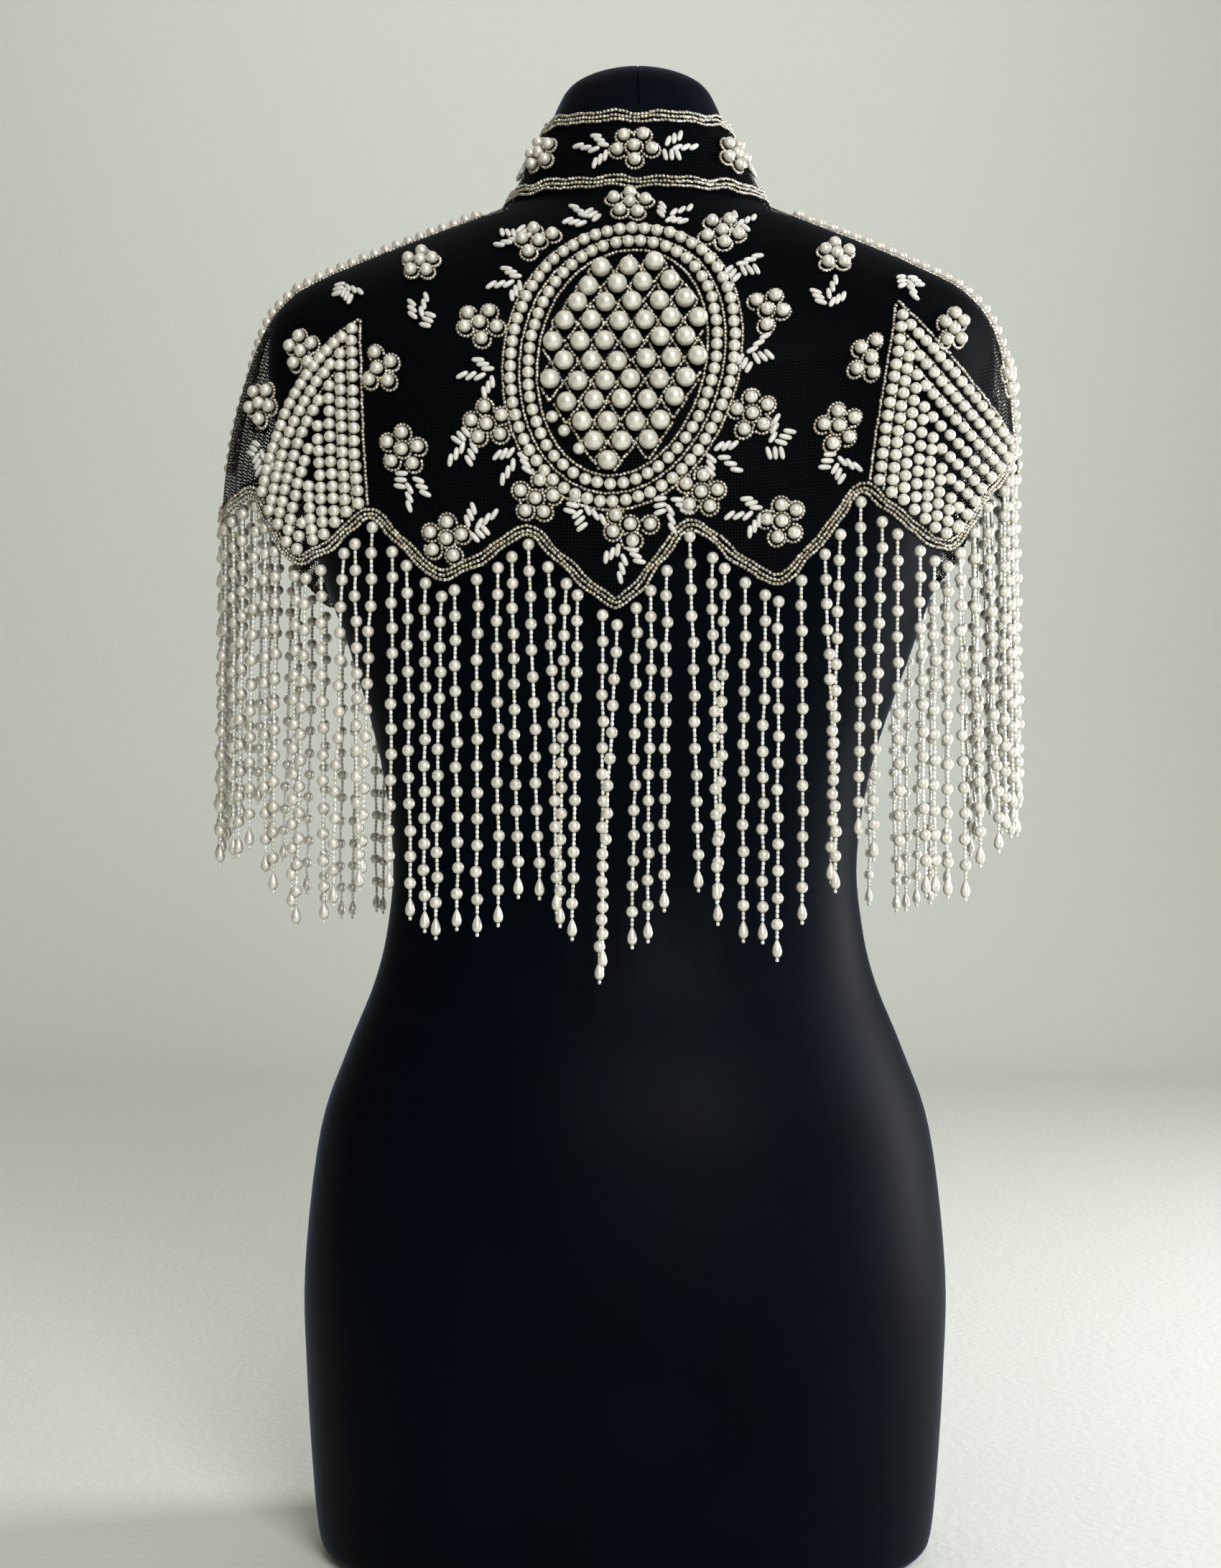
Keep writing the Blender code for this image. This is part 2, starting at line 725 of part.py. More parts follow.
def wing_outline(wing):
    """The wing's four edges as flat points, each bulging outwards."""
    corners = (wing.top, wing.inner, wing.point, wing.outer)
    top, inner, point, outer = [flat(corner) for corner in corners]
    side = math.copysign(1, top.x)
    return [
        bulged(top, inner, EDGE_BOW * side, 6),
        bulged(inner, point, EDGE_BOW * side, 3),
        bulged(point, outer, EDGE_BOW * side, 5),
        bulged(outer, top, wing.bulge * side, 9),
    ]


def nearest_on(point, line):
    """The distance from a flat point to an open line of flat points."""
    best = math.inf
    for start, end in zip(line, line[1:]):
        along = end - start
        share = min(max((point - start).dot(along) / along.length_squared, 0), 1)
        best = min(best, (point - start - along * share).length)
    return best


def walk(line, pitch):
    """Flat points spaced evenly along a line of flat points."""
    spots = np.array(line)
    lengths = np.concatenate([[0], np.cumsum(np.linalg.norm(np.diff(spots, axis=0), axis=1))])
    count = int(lengths[-1] / pitch)
    targets = np.arange(count + 1) * pitch
    xs = np.interp(targets, lengths, spots[:, 0])
    ys = np.interp(targets, lengths, spots[:, 1])
    return [Vector((x, y)) for x, y in zip(xs, ys)]


def offset_line(line, distance, middle):
    """A line moved sideways towards a middle point."""
    moved_line = []
    for i, spot in enumerate(line):
        along = (line[min(i + 1, len(line) - 1)] - line[max(i - 1, 0)]).normalized()
        side = Vector((-along.y, along.x))
        if side.dot(middle - spot) < 0:
            side = -side
        moved_line.append(spot + side * distance)
    return moved_line


def lengthened(line):
    """A line of flat points that goes straight on past its last one."""
    along = (line[-1] - line[-2]).normalized()
    return line + [line[-1] + along * ARM_REACH]


def wing_pearls(wing):
    """Nested rows of pearls, each parallel to the two edges that meet at the top."""
    inner_edge, low_edge, side_edge, curve = wing_outline(wing)
    inner_line = lengthened(inner_edge + [low_edge[0]])
    outer_line = lengthened([inner_edge[0]] + curve[::-1])
    outline = inner_edge + low_edge + side_edge + curve
    middle = sum(outline, Vector((0, 0))) / len(outline)
    pearls = []
    for distance in np.arange(FIRST_ROW * WING_ROW, WING_DEPTH, WING_ROW):
        for line, other in ((inner_line, outer_line), (outer_line, inner_line)):
            for spot in walk(offset_line(line, distance, middle), PEARL_PITCH):
                inside = from_edge(spot, outline) > WING_MARGIN
                apart = all((spot - pearl).length > PEARL_APART for pearl in pearls)
                if inside and apart and nearest_on(spot, other) > distance - 1.0:
                    pearls.append(spot)
    return pearls


def make_wing(wing, finish):
    loop = [place_of(spot) for edge in wing_outline(wing) for spot in edge]
    pearls = wing_pearls(wing)
    raised = [(*place_of(spot), PEARL_RISE) for spot in pearls]
    valley = Vector((0, -PEARL_PITCH / 2))
    outline = [flat(place) for place in loop]
    for spot in pearls:
        between = spot + valley
        apart = all((between - pearl).length > DIP_APART for pearl in pearls)
        if apart and from_edge(between, outline) > DIP_MARGIN:
            raised.append((*place_of(between), WING_DIP))
    fill = lattice(outline, FILL_MARGIN)
    low = CLOTH + LAY_GAP
    cloth = FRONT if wing.from_front else BACK
    wall(wing.name, cloth, loop, fill, raised, low, APPLIQUE, finish)


def ridge_at(row, ring):
    """How far across a shoulder row lies at a ring, drifting from its top to its end."""
    share = min(max((ring - DRIFT_RING) / DRIFT_RINGS, 0), 1)
    drift = row.top_shift + (row.low_shift - row.top_shift) * share
    return abs(BACK.across_at(math.pi / 2, ring)) + drift


def make_shoulder_row(row, finish):
    """A row of pearls over the shoulder, from the collar to the hem's trim."""
    side = row.side
    rings = np.arange(SHOULDER_TOP, SHOULDER_END + SHOULDER_STEP, SHOULDER_STEP)
    ridge = [ridge_at(row, ring) for ring in rings]
    inner = [Place(side * (a - SHOULDER_HALF), ring) for a, ring in zip(ridge, rings)]
    outer = [Place(side * (a + SHOULDER_HALF), ring) for a, ring in zip(ridge, rings)]
    loop = inner + outer[::-1]
    raised = []
    count = int((SHOULDER_END - SHOULDER_TOP) * RING_DROP / (2 * PEARL_PITCH))
    steps = np.linspace(SHOULDER_TOP, SHOULDER_END, 2 * count + 1)
    for i, ring in enumerate(steps[1:-1]):
        raised.append((side * ridge_at(row, ring), ring, VALLEY_RISE if i % 2 else PEARL_RISE))
    wall(row.name, BACK, loop, [], raised, CLOTH + LAY_GAP, APPLIQUE, finish)


def make_fringe(name, cloth, hem, seed, finish):
    """Strands of pearls that hang from a narrow strip below the hem."""
    edge = [cloth.point(place, CLOTH / 2) for place in hem]
    outer = [cloth.point(place, CLOTH / 2 + 1) for place in hem]
    away = []
    for near, far in zip(edge, outer):
        level = far - near
        level.z = 0
        away.append(level.normalized())
    spots = np.array(edge)
    level_steps = np.linalg.norm(np.diff(spots[:, :2], axis=0), axis=1)
    lengths = np.concatenate([[0], np.cumsum(level_steps)])

    def at(distance):
        spot = Vector([np.interp(distance, lengths, spots[:, i]) for i in range(3)])
        sides = np.array(away)
        side = Vector([np.interp(distance, lengths, sides[:, i]) for i in range(3)])
        return spot, side.normalized()

    chance = random.Random(seed)
    corners = [END_STRAND]
    for i in range(1, len(hem) - 1):
        if (hem[i].ring - hem[i - 1].ring) * (hem[i + 1].ring - hem[i].ring) < 0:
            corners.append(lengths[i])
    corners.append(lengths[-1] - END_STRAND)
    distances = []
    for start, end in zip(corners, corners[1:]):
        count = round((end - start) / STRAND_PITCH)
        for i in range(count):
            jitter = chance.uniform(-STRAND_JITTER, STRAND_JITTER) if i else 0
            distances.append(start + i * (end - start) / count + jitter)
    distances.append(corners[-1])
    points = []
    faces = []
    strands = []
    for distance in distances:
        base = len(points)
        middle, side = at(distance)
        left, left_side = at(distance - ROOT_HALF)
        right, right_side = at(distance + ROOT_HALF)
        down = Vector((0, 0, -STRIP_HEIGHT))
        points.append(middle + Vector((0, 0, -STRIP_DROP)))
        points.append(left + left_side * ROOT_OUT + down)
        points.append(right + right_side * ROOT_OUT + down)
        points.append(middle - side * ROOT_IN + down)
        end_z = middle.z - STRAND_LENGTH + chance.uniform(-STRAND_UNEVEN, STRAND_UNEVEN)
        along = Vector((-side.y, side.x, 0))
        if along.dot(right - left) < 0:
            along = -along
        top_z = min(points[base + 1].z, points[base + 2].z) - ROOT_TAPER
        levels = (
            (top_z, STRAND_RADIUS),
            (end_z + DROP_LENGTH, STRAND_RADIUS),
            (end_z + DROP_LENGTH * DROP_BELLY, DROP_RADIUS),
        )
        for z, radius in levels:
            for turn in (math.radians(150), math.radians(30), math.radians(270)):
                spot = middle + (along * math.cos(turn) + side * math.sin(turn)) * radius
                points.append(Vector((spot.x, spot.y, z)))
        points.append(Vector((middle.x, middle.y, end_z)))
        faces.append([base, base + 1, base + 2])
        lower = [base + 1, base + 2, base + 3]
        for level in range(len(levels)):
            upper = lower
            lower = [base + 4 + level * 3 + j for j in range(3)]
            for j in range(3):
                k = (j + 1) % 3
                faces.append([upper[j], upper[k], lower[k], lower[j]])
        tip = base + 4 + 3 * len(levels)
        for j in range(3):
            faces.append([lower[j], lower[(j + 1) % 3], tip])
        strands.append(base)
    for base, after in zip(strands, strands[1:]):
        faces.append([base, base + 2, after + 1])
        faces.append([base, after + 1, after])
        faces.append([base, after, after + 3, base + 3])
        faces.append([base + 2, base + 3, after + 3, after + 1])
    first = strands[0]
    last = strands[-1]
    faces.append([first, first + 3, first + 1])
    faces.append([last, last + 2, last + 3])
    return add_object(name, points, faces, finish)


def make_form(finish):
    """The dress form: one closed solid of rings, with a rounded cap and a flat base."""
    columns = [c * COLUMN_STEP for c in range(COLUMN_COUNT)]
    rings = []
    for section in FORM_CAP:
        rings.append([ring_point(section, angle) for angle in columns])
    for ring in range(COLLAR_RINGS_ON_FORM):
        rings.append([surface_point(COLLAR, ring, a, -FORM_CLEARANCE) for a in columns])
    for ring in range(CAPE_RINGS_ON_FORM):
        rings.append([surface_point(CAPE, ring, a, -FORM_CLEARANCE) for a in columns])
    for section in FORM_BODY:
        rings.append([ring_point(section, angle) for angle in columns])
    points = [point for ring in rings for point in ring]
    points.append(Vector((NECK_SHIFT, 0, FORM_TOP)))
    count = len(columns)
    faces = []
    for i in range(len(rings) - 1):
        for j in range(count):
            k = (j + 1) % count
            start = i * count
            faces.append([start + j, start + k, start + count + k, start + count + j])
    for j in range(count):
        faces.append([len(points) - 1, j, (j + 1) % count])
    faces.append([len(points) - 1 - count + j for j in range(count)])
    return add_object("dress_form", points, faces, finish)


def make_button(finish):
    """The pearl button that closes the collar at centre front."""
    front = Cloth(COLLAR, from_front=True)
    middle = front.point(Place(BUTTON_ACROSS, 1.0), CLOTH + BUTTON_RADIUS - BUTTON_SEAT)
    work = bmesh.new()
    bmesh.ops.create_icosphere(work, subdivisions=1, radius=BUTTON_RADIUS)
    bmesh.ops.translate(work, vec=middle, verts=work.verts)
    points = [vert.co.copy() for vert in work.verts]
    faces = [[vert.index for vert in face.verts] for face in work.faces]
    work.free()
    return add_object("collar_button", points, faces, finish)


def main():
    for obj in list(bpy.data.objects):
        bpy.data.objects.remove(obj)
    jersey = material("black_cotton_jersey", (0.004, 0.005, 0.009), 0.85)
    net = material("black_nylon_net", (0.006, 0.006, 0.008), 0.7)
    pearl = material("cream_imitation_pearl", (0.72, 0.69, 0.62), 0.28)
    seed = material("silver_lined_seed_bead", (0.42, 0.40, 0.38), 0.25, 0.5)

    make_form(jersey)
    make_collar(net)
    back_hem = make_back_panel(net)
    left_hem = make_front_panel("left_front_panel", -1, net)
    right_hem = make_front_panel("right_front_panel", 1, net)

    make_band("back_hem_trim", BACK, back_hem, 1, seed)
    make_band("left_hem_trim", FRONT, left_hem, -1, seed)
    make_band("right_hem_trim", FRONT, right_hem, 1, seed)
    last = len(COLLAR) - 1
    columns = [c * COLUMN_STEP for c in range(-17, 18)]
    for name, ring, inward in (("collar_top_trim", 0, -1), ("collar_base_trim", last, 1)):
        edge = [Place(STAND.across_at(angle, ring), ring) for angle in columns]
        make_band(name, STAND, edge, inward, seed)
    for name, side in (("left_front_trim", -1), ("right_front_trim", 1)):
        edge = [Place(side * FRONT_OPENING / 2, 0.5 + i) for i in range(11)]
        make_band(name, FRONT, edge, side, seed, square_ends=True)

    for row in SHOULDER_ROWS:
        make_shoulder_row(row, pearl)
    make_medallion(pearl)
    for wing in WINGS:
        make_wing(wing, pearl)
    make_fringe("back_fringe", BACK, back_hem, 3, pearl)
    make_fringe("left_fringe", FRONT, left_hem, 5, pearl)
    make_fringe("right_fringe", FRONT, right_hem, 7, pearl)
    make_button(pearl)


main()
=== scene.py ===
"""Looks of a beaded, pearl-fringed net capelet on a limbless dress form.

Lengths in the tables are in millimetres. Cloth is measured on its own surface, as
millimetres across from a centre line and a ring number that counts level rings down
from the neck seam. The back of the garment faces -Y and the wearer's right is +X.
"""

import math
import random
from collections import namedtuple

import bpy
import numpy as np
from bpy.props import FloatProperty, FloatVectorProperty, IntProperty, PointerProperty
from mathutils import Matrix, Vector
from mathutils.geometry import delaunay_2d_cdt


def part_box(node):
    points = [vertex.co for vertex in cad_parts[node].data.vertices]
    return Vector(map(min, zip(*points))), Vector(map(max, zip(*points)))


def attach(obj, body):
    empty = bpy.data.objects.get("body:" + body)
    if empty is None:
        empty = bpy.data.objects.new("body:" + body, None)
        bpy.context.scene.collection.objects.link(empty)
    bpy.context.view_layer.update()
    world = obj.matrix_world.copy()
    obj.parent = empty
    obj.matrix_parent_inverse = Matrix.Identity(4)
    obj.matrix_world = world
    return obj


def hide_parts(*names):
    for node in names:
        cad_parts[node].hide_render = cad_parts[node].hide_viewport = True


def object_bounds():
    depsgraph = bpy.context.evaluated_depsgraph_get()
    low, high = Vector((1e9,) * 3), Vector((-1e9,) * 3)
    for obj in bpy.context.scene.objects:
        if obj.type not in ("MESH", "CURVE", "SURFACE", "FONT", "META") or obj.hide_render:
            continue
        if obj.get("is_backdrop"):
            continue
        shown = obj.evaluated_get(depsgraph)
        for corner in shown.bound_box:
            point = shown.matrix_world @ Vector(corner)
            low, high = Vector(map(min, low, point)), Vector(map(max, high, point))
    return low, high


bl_info = {
    "name": "Beaded capelet",
    "version": (1, 0, 0),
    "blender": (4, 5, 0),
    "location": "View3D > Sidebar > Capelet",
    "description": "Net, pearls, seed beads and fringe of a capelet on its dress form",
    "category": "Add Mesh",
}

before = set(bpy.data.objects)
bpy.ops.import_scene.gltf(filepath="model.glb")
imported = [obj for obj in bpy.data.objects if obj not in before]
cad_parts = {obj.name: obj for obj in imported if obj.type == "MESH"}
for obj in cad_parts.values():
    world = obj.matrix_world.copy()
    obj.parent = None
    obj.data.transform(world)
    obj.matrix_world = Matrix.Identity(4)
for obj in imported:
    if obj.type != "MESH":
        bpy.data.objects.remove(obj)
CAD_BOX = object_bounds()

MM = 0.001

# Cloth and clearances, as in the solids
CLOTH = 1.8
SEAM_GAP = 0.4
JERSEY_OUT = 0.8
TRIM_INSET = 0.4
NECK_EDGE = 0.04
FRONT_OPENING = 3.0
RING_DROP = 19.2
SCALLOP_BOW = 0.35
SURFACE_STEP = 0.02
ANGLE_COUNT = 361
STEPS_PER_RING = 16
TINY = 1e-9
STEEP = 0.9

# How far the net lies outside its surface, and how finely it and its lines are drawn
NET_OUT = 1.5
NET_STEP = 6.0
NET_EDGE_STEP = 3.5
NET_CLEAR = 0.4
SLIVER = 0.02
MERGE = 1e-4
HEM_STEP = 14.0
FINE_STEP = 2.0
ROW_STEP = 1.0
ARM_STEP = 0.5
SIDE_POINTS = 24
COLLAR_POINTS = 60
SHOULDER_POINTS = 60

# Distances of a trim's three rows of seed beads from its outer edge
TRIM_ROWS = (0.9, 2.95, 5.0)

# How unevenly the hand-sewn lines and rows lie, and how much the seed beads differ
ROUND_REACH = 9
WAVE = 0.3
WAVE_LENGTHS = (19.0, 31.0)
ROW_WAVE = 0.14
ROW_PHASE = 2.1
COLLAR_WAVE = 0.45
ROW_SHAKE = 0.22
CORNER_SLACK = 0.15
SEED_TILT = 0.13
SEED_WIDTHS = (0.92, 1.1)
SEED_LENGTHS = (0.9, 1.04)
TRIM_SHAKE = 0.12
SHOULDER_SHAKE = 0.1
STITCH_SHAKE = 0.15

# Where the random numbers of each group of rows start
SHOULDER_CHANCE = 80
MEDALLION_CHANCE = 100
STITCH_CHANCE = 200
WING_CHANCE = 300
FIELD_CHANCE = 11

# A flower's petals, in degrees and millimetres, and the ring of seed beads round each of
# its pearls. Beads of two rings stay RING_APART from each other, and the other sizes of a
# ring are shares of a seed bead's width or length.
PETAL_STEP = 72
PETAL_RADIUS = 8.1
PETAL_SHAKE = 0.5
PETAL_TURN = 8
FLOWER_SHAKE = 0.7
RING_OUT = 0.58
RING_PITCH = 0.92
RING_CLEAR = 0.25
RING_LENGTH = 0.86
RING_APART = 1.35

# How unevenly the leaflets and rice beads of a spray lie, in millimetres and degrees
LEAFLET_SHAKE = 0.4
LEAFLET_TURN = 6
RICE_TURN = 8

# Fringe
STRAND_PITCH = 9.4
STRAND_JITTER = 2.6
STRAND_LENGTH = 172.0
STRAND_UNEVEN = 5.0
END_STRAND = 4.0

# The neck leans towards +X: a section's shift moves its middle that way.
Section = namedtuple(
    "Section",
    "half_width back front side_z back_z front_z squareness shift",
    defaults=(0,),
)
NECK_SHIFT = 6.5

# Level rings of the cape, from the neck seam to the longest hem point.
CAPE = (
    Section(69, 61, 58, 702, 699, 662, 2.10, NECK_SHIFT),
    Section(88, 72, 70, 694, 687, 647, 2.15, NECK_SHIFT),
    Section(108, 82, 82, 686.5, 673.5, 630, 2.20, 6),
    Section(130, 90, 93, 678, 657.5, 611, 2.25, 5.5),
    Section(152, 97, 103, 668.5, 640, 592, 2.30, 4.5),
    Section(171, 102, 111, 659, 622, 573, 2.35, 3.5),
    Section(184.5, 106, 118, 646, 603, 554, 2.40, 2.5),
    Section(193, 109, 123, 629, 584, 535, 2.40, 1.5),
    Section(199, 110.5, 126, 608, 565, 517, 2.40, 0.5),
    Section(204.5, 111.5, 128, 586, 546, 500, 2.40),
    Section(209, 112, 129, 565, 527, 483, 2.40),
    Section(212, 112.5, 129.5, 546, 507, 467, 2.40),
    Section(214, 113, 130, 530, 486, 451, 2.40),
)

# The standing collar, from its top edge down to the neck seam.
COLLAR = (
    Section(45.6, 47, 47, 748.5, 743.7, 713, 2.05, NECK_SHIFT),
    Section(57, 54, 52, 726, 722, 688, 2.05, NECK_SHIFT),
    Section(68.6, 60.6, 57.6, 703.2, 700.2, 663.2, 2.10, NECK_SHIFT),
)

# The form's rounded neck cap, above the collar.
FORM_CAP = (
    Section(20, 19, 20, 775.5, 776, 772, 2.0, NECK_SHIFT),
    Section(32, 31, 32, 771, 771.5, 764, 2.0, NECK_SHIFT),
    Section(38, 38, 38, 766, 765, 754, 2.0, NECK_SHIFT),
    Section(42.3, 43, 43, 758, 756, 739, 2.0, NECK_SHIFT),
)

# The form's body, below the stretch that the cape rests on, down to its flat base.
FORM_BODY = (
    Section(190.2, 104.5, 118.5, 629, 584, 538, 2.40, 3.3),
    Section(188, 102, 117, 596, 556, 516, 2.40, 3),
    Section(172, 96, 113, 553, 526, 492, 2.35, 1.5),
    Section(161.5, 91, 106, 511, 492, 466, 2.30, 2.5),
    Section(147.5, 82, 96, 471, 458, 440, 2.25, 3),
    Section(130, 72, 88, 415, 408, 399, 2.20, 1),
    Section(122.5, 66, 85, 365, 362, 358, 2.15),
    Section(125, 69, 84, 328, 327, 326, 2.10),
    Section(132, 77, 86, 298, 298, 298, 2.10),
    Section(146, 92, 91, 263, 263, 263, 2.15),
    Section(160, 104, 96, 221, 221, 221, 2.20),
    Section(168, 111, 99, 150, 150, 150, 2.25),
    Section(167, 109, 98, 95, 95, 95, 2.25),
    Section(164, 104, 95, 45, 45, 45, 2.25),
    Section(161, 101, 92, 14, 14, 14, 2.25),
    Section(157.5, 98, 89, 4.5, 4.5, 4.5, 2.25),
    Section(149, 90, 81, 0, 0, 0, 2.25),
)
FORM_TOP = 779.5
APEX = FORM_TOP - 0.5
CAPE_RINGS_ON_FORM = 7
COLLAR_RINGS_ON_FORM = 2
LINES_PER_RING = 5
FORM_SHARP = math.radians(50)

# The form's upright lines, in degrees round from its back: fine ones beside the jersey's
# seam, and the rest.
SEAM_TURNS = (-1.9, -1.2, -0.6, 0, 0.6, 1.2, 1.9)
FORM_TURNS = np.arange(5, 356, 3.5)

# The seam up the back of the cap: its half width in degrees, its depth, the height where
# it starts, how far it takes to deepen, and the height and flatness of the cap's middle,
# towards which it is drawn in.
SEAM_WIDTH = 0.7
SEAM_DEPTH = 0.7
SEAM_LOW = 740
SEAM_FADE = 10
CAP_MIDDLE = 735
CAP_FLATNESS = 0.6

Place = namedtuple("Place", "across ring")
Motif = namedtuple("Motif", "across ring turn petals", defaults=(5,))

# Low points and peaks of the scalloped hem, across from centre back.
SIDE_POINT = 11.0
BACK_HEM = (
    Place(-270, SIDE_POINT),
    Place(-238, 11.5),
    Place(-196, 10.45),
    Place(-172, 11.95),
    Place(-163, 11.95),
    Place(-124.5, 10.3),
    Place(-89.5, 11.7),
    Place(-47, 10.3),
    Place(-4, 12.15),
    Place(30.5, 10.1),
    Place(73, 11.75),
    Place(115, 9.6),
    Place(163, 11.65),
    Place(191, 10.4),
    Place(230, 9.35),
    Place(270, SIDE_POINT),
)

# The same for one front, across from centre front. The sign is set for each side.
FRONT_HEM = (
    Place(0, 11.9),
    Place(45, 10.2),
    Place(90, 11.6),
    Place(132, 10.0),
    Place(184, 11.6),
    Place(240, 9.6),
    Place(292, SIDE_POINT),
)

BACK_FLOWERS = (
    Motif(-4.6, 0.9, 17),
    Motif(41.5, 2.15, 59),
    Motif(64.5, 4.7, 275, 4),
    Motif(59.1, 7.35, 21),
    Motif(35.6, 9.25, 11),
    Motif(2, 10.05, 138, 4),
    Motif(-43, 9.4, 9),
    Motif(-67.6, 7.65, 30),
    Motif(-74.6, 5.15, 352),
    Motif(-48.7, 2.55, 29, 4),
    Motif(-111.5, 3.62, 30),
    Motif(-125, 6.75, 245, 4),
    Motif(-109.1, 8.55, 20),
    Motif(-86.7, 10.6, 14),
    Motif(103.5, 3.3, 10),
    Motif(118.3, 6.4, 59, 4),
    Motif(102.7, 7.95, 25),
    Motif(74.5, 10.1, 29),
    Motif(-172.2, 6.85, 35),
    Motif(171.4, 6.25, 80),
    Motif(-197, 8.3, 65),
    Motif(226, 7.75, 25),
    Motif(-224.5, 4.95, 40),
)

FRONT_FLOWERS = (
    Motif(32, 1.6, 40),
    Motif(84, 3.0, 75),
    Motif(34, 4.4, 20),
    Motif(78, 5.7, 50),
    Motif(33, 7.2, 85),
    Motif(84, 8.5, 15),
    Motif(24, 9.6, 60),
    Motif(134, 4.6, 35),
    Motif(86, 10.3, 5),
    Motif(255, 8.0, 65),
)

COLLAR_FLOWERS = (
    Motif(-2, 0.98, 55),
    Motif(56, 0.98, 60),
    Motif(-56, 0.98, 30),
    Motif(112, 1.0, 105),
    Motif(-112, 1.0, 75),
)

# Leaf sprays of rice beads. A spray's turn is the way that its middle leaflet points.
BACK_SPRAYS = (
    Motif(-28.2, 1.4, 130),
    Motif(17.8, 1.3, 45),
    Motif(-64, 2.3, 150),
    Motif(51.9, 1.8, 30),
    Motif(-63.2, 3.85, 200),
    Motif(53.7, 3.45, 330),
    Motif(-105, 5.0, 80),
    Motif(97.7, 4.45, 80),
    Motif(-152, 5.05, 300),
    Motif(146.5, 4.72, 270),
    Motif(-73.1, 6.45, 200),
    Motif(61.2, 5.9, 340),
    Motif(-80.1, 8.3, 225),
    Motif(-55.7, 8.6, 250),
    Motif(74.4, 8.05, 20),
    Motif(-105.1, 9.5, 270),
    Motif(45.9, 8.45, 330),
    Motif(102.4, 9.0, 270),
    Motif(-69.9, 10.1, 40),
    Motif(57.4, 9.85, 190),
    Motif(-21.5, 9.85, 265),
    Motif(21.4, 9.75, 280),
    Motif(-2, 10.9, 270),
    Motif(-194, 9.6, 270),
)

FRONT_SPRAYS = (
    Motif(60, 1.9, 30),
    Motif(56, 4.0, 150),
    Motif(57, 7.0, 200),
    Motif(116, 6.3, 80),
    Motif(108, 9.4, 270),
    Motif(55, 9.3, 240),
    Motif(110, 3.6, 320),
)

COLLAR_SPRAYS = (
    Motif(20, 1.0, 0),
    Motif(-22, 1.0, 180),
    Motif(83, 1.0, 0),
    Motif(-83, 1.0, 180),
)

# A spray's three leaflets: each is three rice beads side by side. A leaflet's middle
# lies at a turn and distance from the root, its beads lean and step in their own ways,
# and all turns count from the spray's direction.
ROOT_REACH = 6.5
Leaflet = namedtuple("Leaflet", "turn distance lean stack step")
SPRAY_FORMS = (
    (
        Leaflet(-60, 4.8, -85, -5, 3.2),
        Leaflet(0, 10.0, 29, 0, 4.4),
        Leaflet(52, 7.3, 75, 27, 3.5),
    ),
    (
        Leaflet(-58, 5.7, -15, -60, 3.2),
        Leaflet(0, 10.6, 20, -15, 4.4),
        Leaflet(59, 7.6, 75, 36, 3.4),
    ),
    (
        Leaflet(-77, 5.1, -100, -25, 3.2),
        Leaflet(0, 8.3, -37, 29, 3.2),
        Leaflet(52, 7.8, 33, 60, 4.4),
    ),
)

# The oval medallion at centre back: its middle and its half sizes.
MEDALLION_MIDDLE = Place(-4.5, 5.76)
MEDALLION_HALF_WIDTH = 58.0
MEDALLION_HALF_HEIGHT = 76.2
MEDALLION_TILT = math.radians(6)
MEDALLION_RINGS = (4.6, 13.2)
MEDALLION_RING_PITCH = 6.25
MEDALLION_LINES = (0.7, 8.9, 17.5)
OVAL_POINTS = 181

# Rows of large pearls in the medallion's middle, from the top: how many, how far the row
# lies to the right and how far it rises to the right, in degrees.
FieldRow = namedtuple("FieldRow", "count shift rise")
FIELD_ROWS = (
    FieldRow(3, 0.5, 7),
    FieldRow(4, 1.5, 5),
    FieldRow(5, 3, 3),
    FieldRow(6, 3.5, 2),
    FieldRow(6, -2, 3),
    FieldRow(6, 4.5, 3),
    FieldRow(6, -1.5, 2),
    FieldRow(5, 0.5, 2),
    FieldRow(4, 1, 1),
    FieldRow(3, 1.5, 2),
    FieldRow(1, -5, 0),
)
FIELD_TOP = 46.8
FIELD_PITCH = 12.75
FIELD_ROW = 9.9
FIELD_SHAKE = 0.6
FIELD_SMALL_PEARLS = ((-32, -31), (-26, -37.5), (-18.5, -46))

# The holes of the middle's pearls run square to this direction.
FIELD_UPRIGHT = (0.3, 0, 1)

# Seed bead stitches between the large pearls: how far apart their middles are at least,
# how far inside the innermost line they end and how many points make one.
STITCH_APART = 4.0
STITCH_INSET = 1.5
STITCH_POINTS = 4

# Wings of nested pearl rows, each filling one scallop of the hem up to its trim. The
# inner arm runs from the top to the inner corner and the outer arm to the outer corner,
# with a bulge. The rim is how far outside the outer arm the outline of seed beads lies,
# and the spread is how much wider apart the outer arms' pearls are than the inner ones'.
Wing = namedtuple("Wing", "name from_front top inner outer bulge rim spread")
WINGS = (
    Wing("back_left_wing", 0, (-139, 5.6), (-127, 9.8), (-191, 10), 9, 0, 1),
    Wing("back_right_wing", 0, (135.5, 5.1), (120, 9.1), (206.5, 8.85), -2, 1.6, 1.14),
    Wing("front_left_wing", 1, (-154, 5.4), (-137, 9.5), (-228, 9.35), 5, 1, 1.05),
    Wing("front_right_wing", 1, (154, 5.4), (137, 9.5), (228, 9.35), 5, 1, 1.05),
)
EDGE_BOW = 0.8
EDGE_PARTS = 16
WING_ROW = 6.9
FIRST_ROW = 0.6
WING_SEED_ROWS = (0, 1.1, 2.1)
WING_DEPTH = 60.0
WING_PITCH = 6.2
WING_SHAKE = 0.25
TIP_RISE = 0.8
PEARL_APART = 5.8
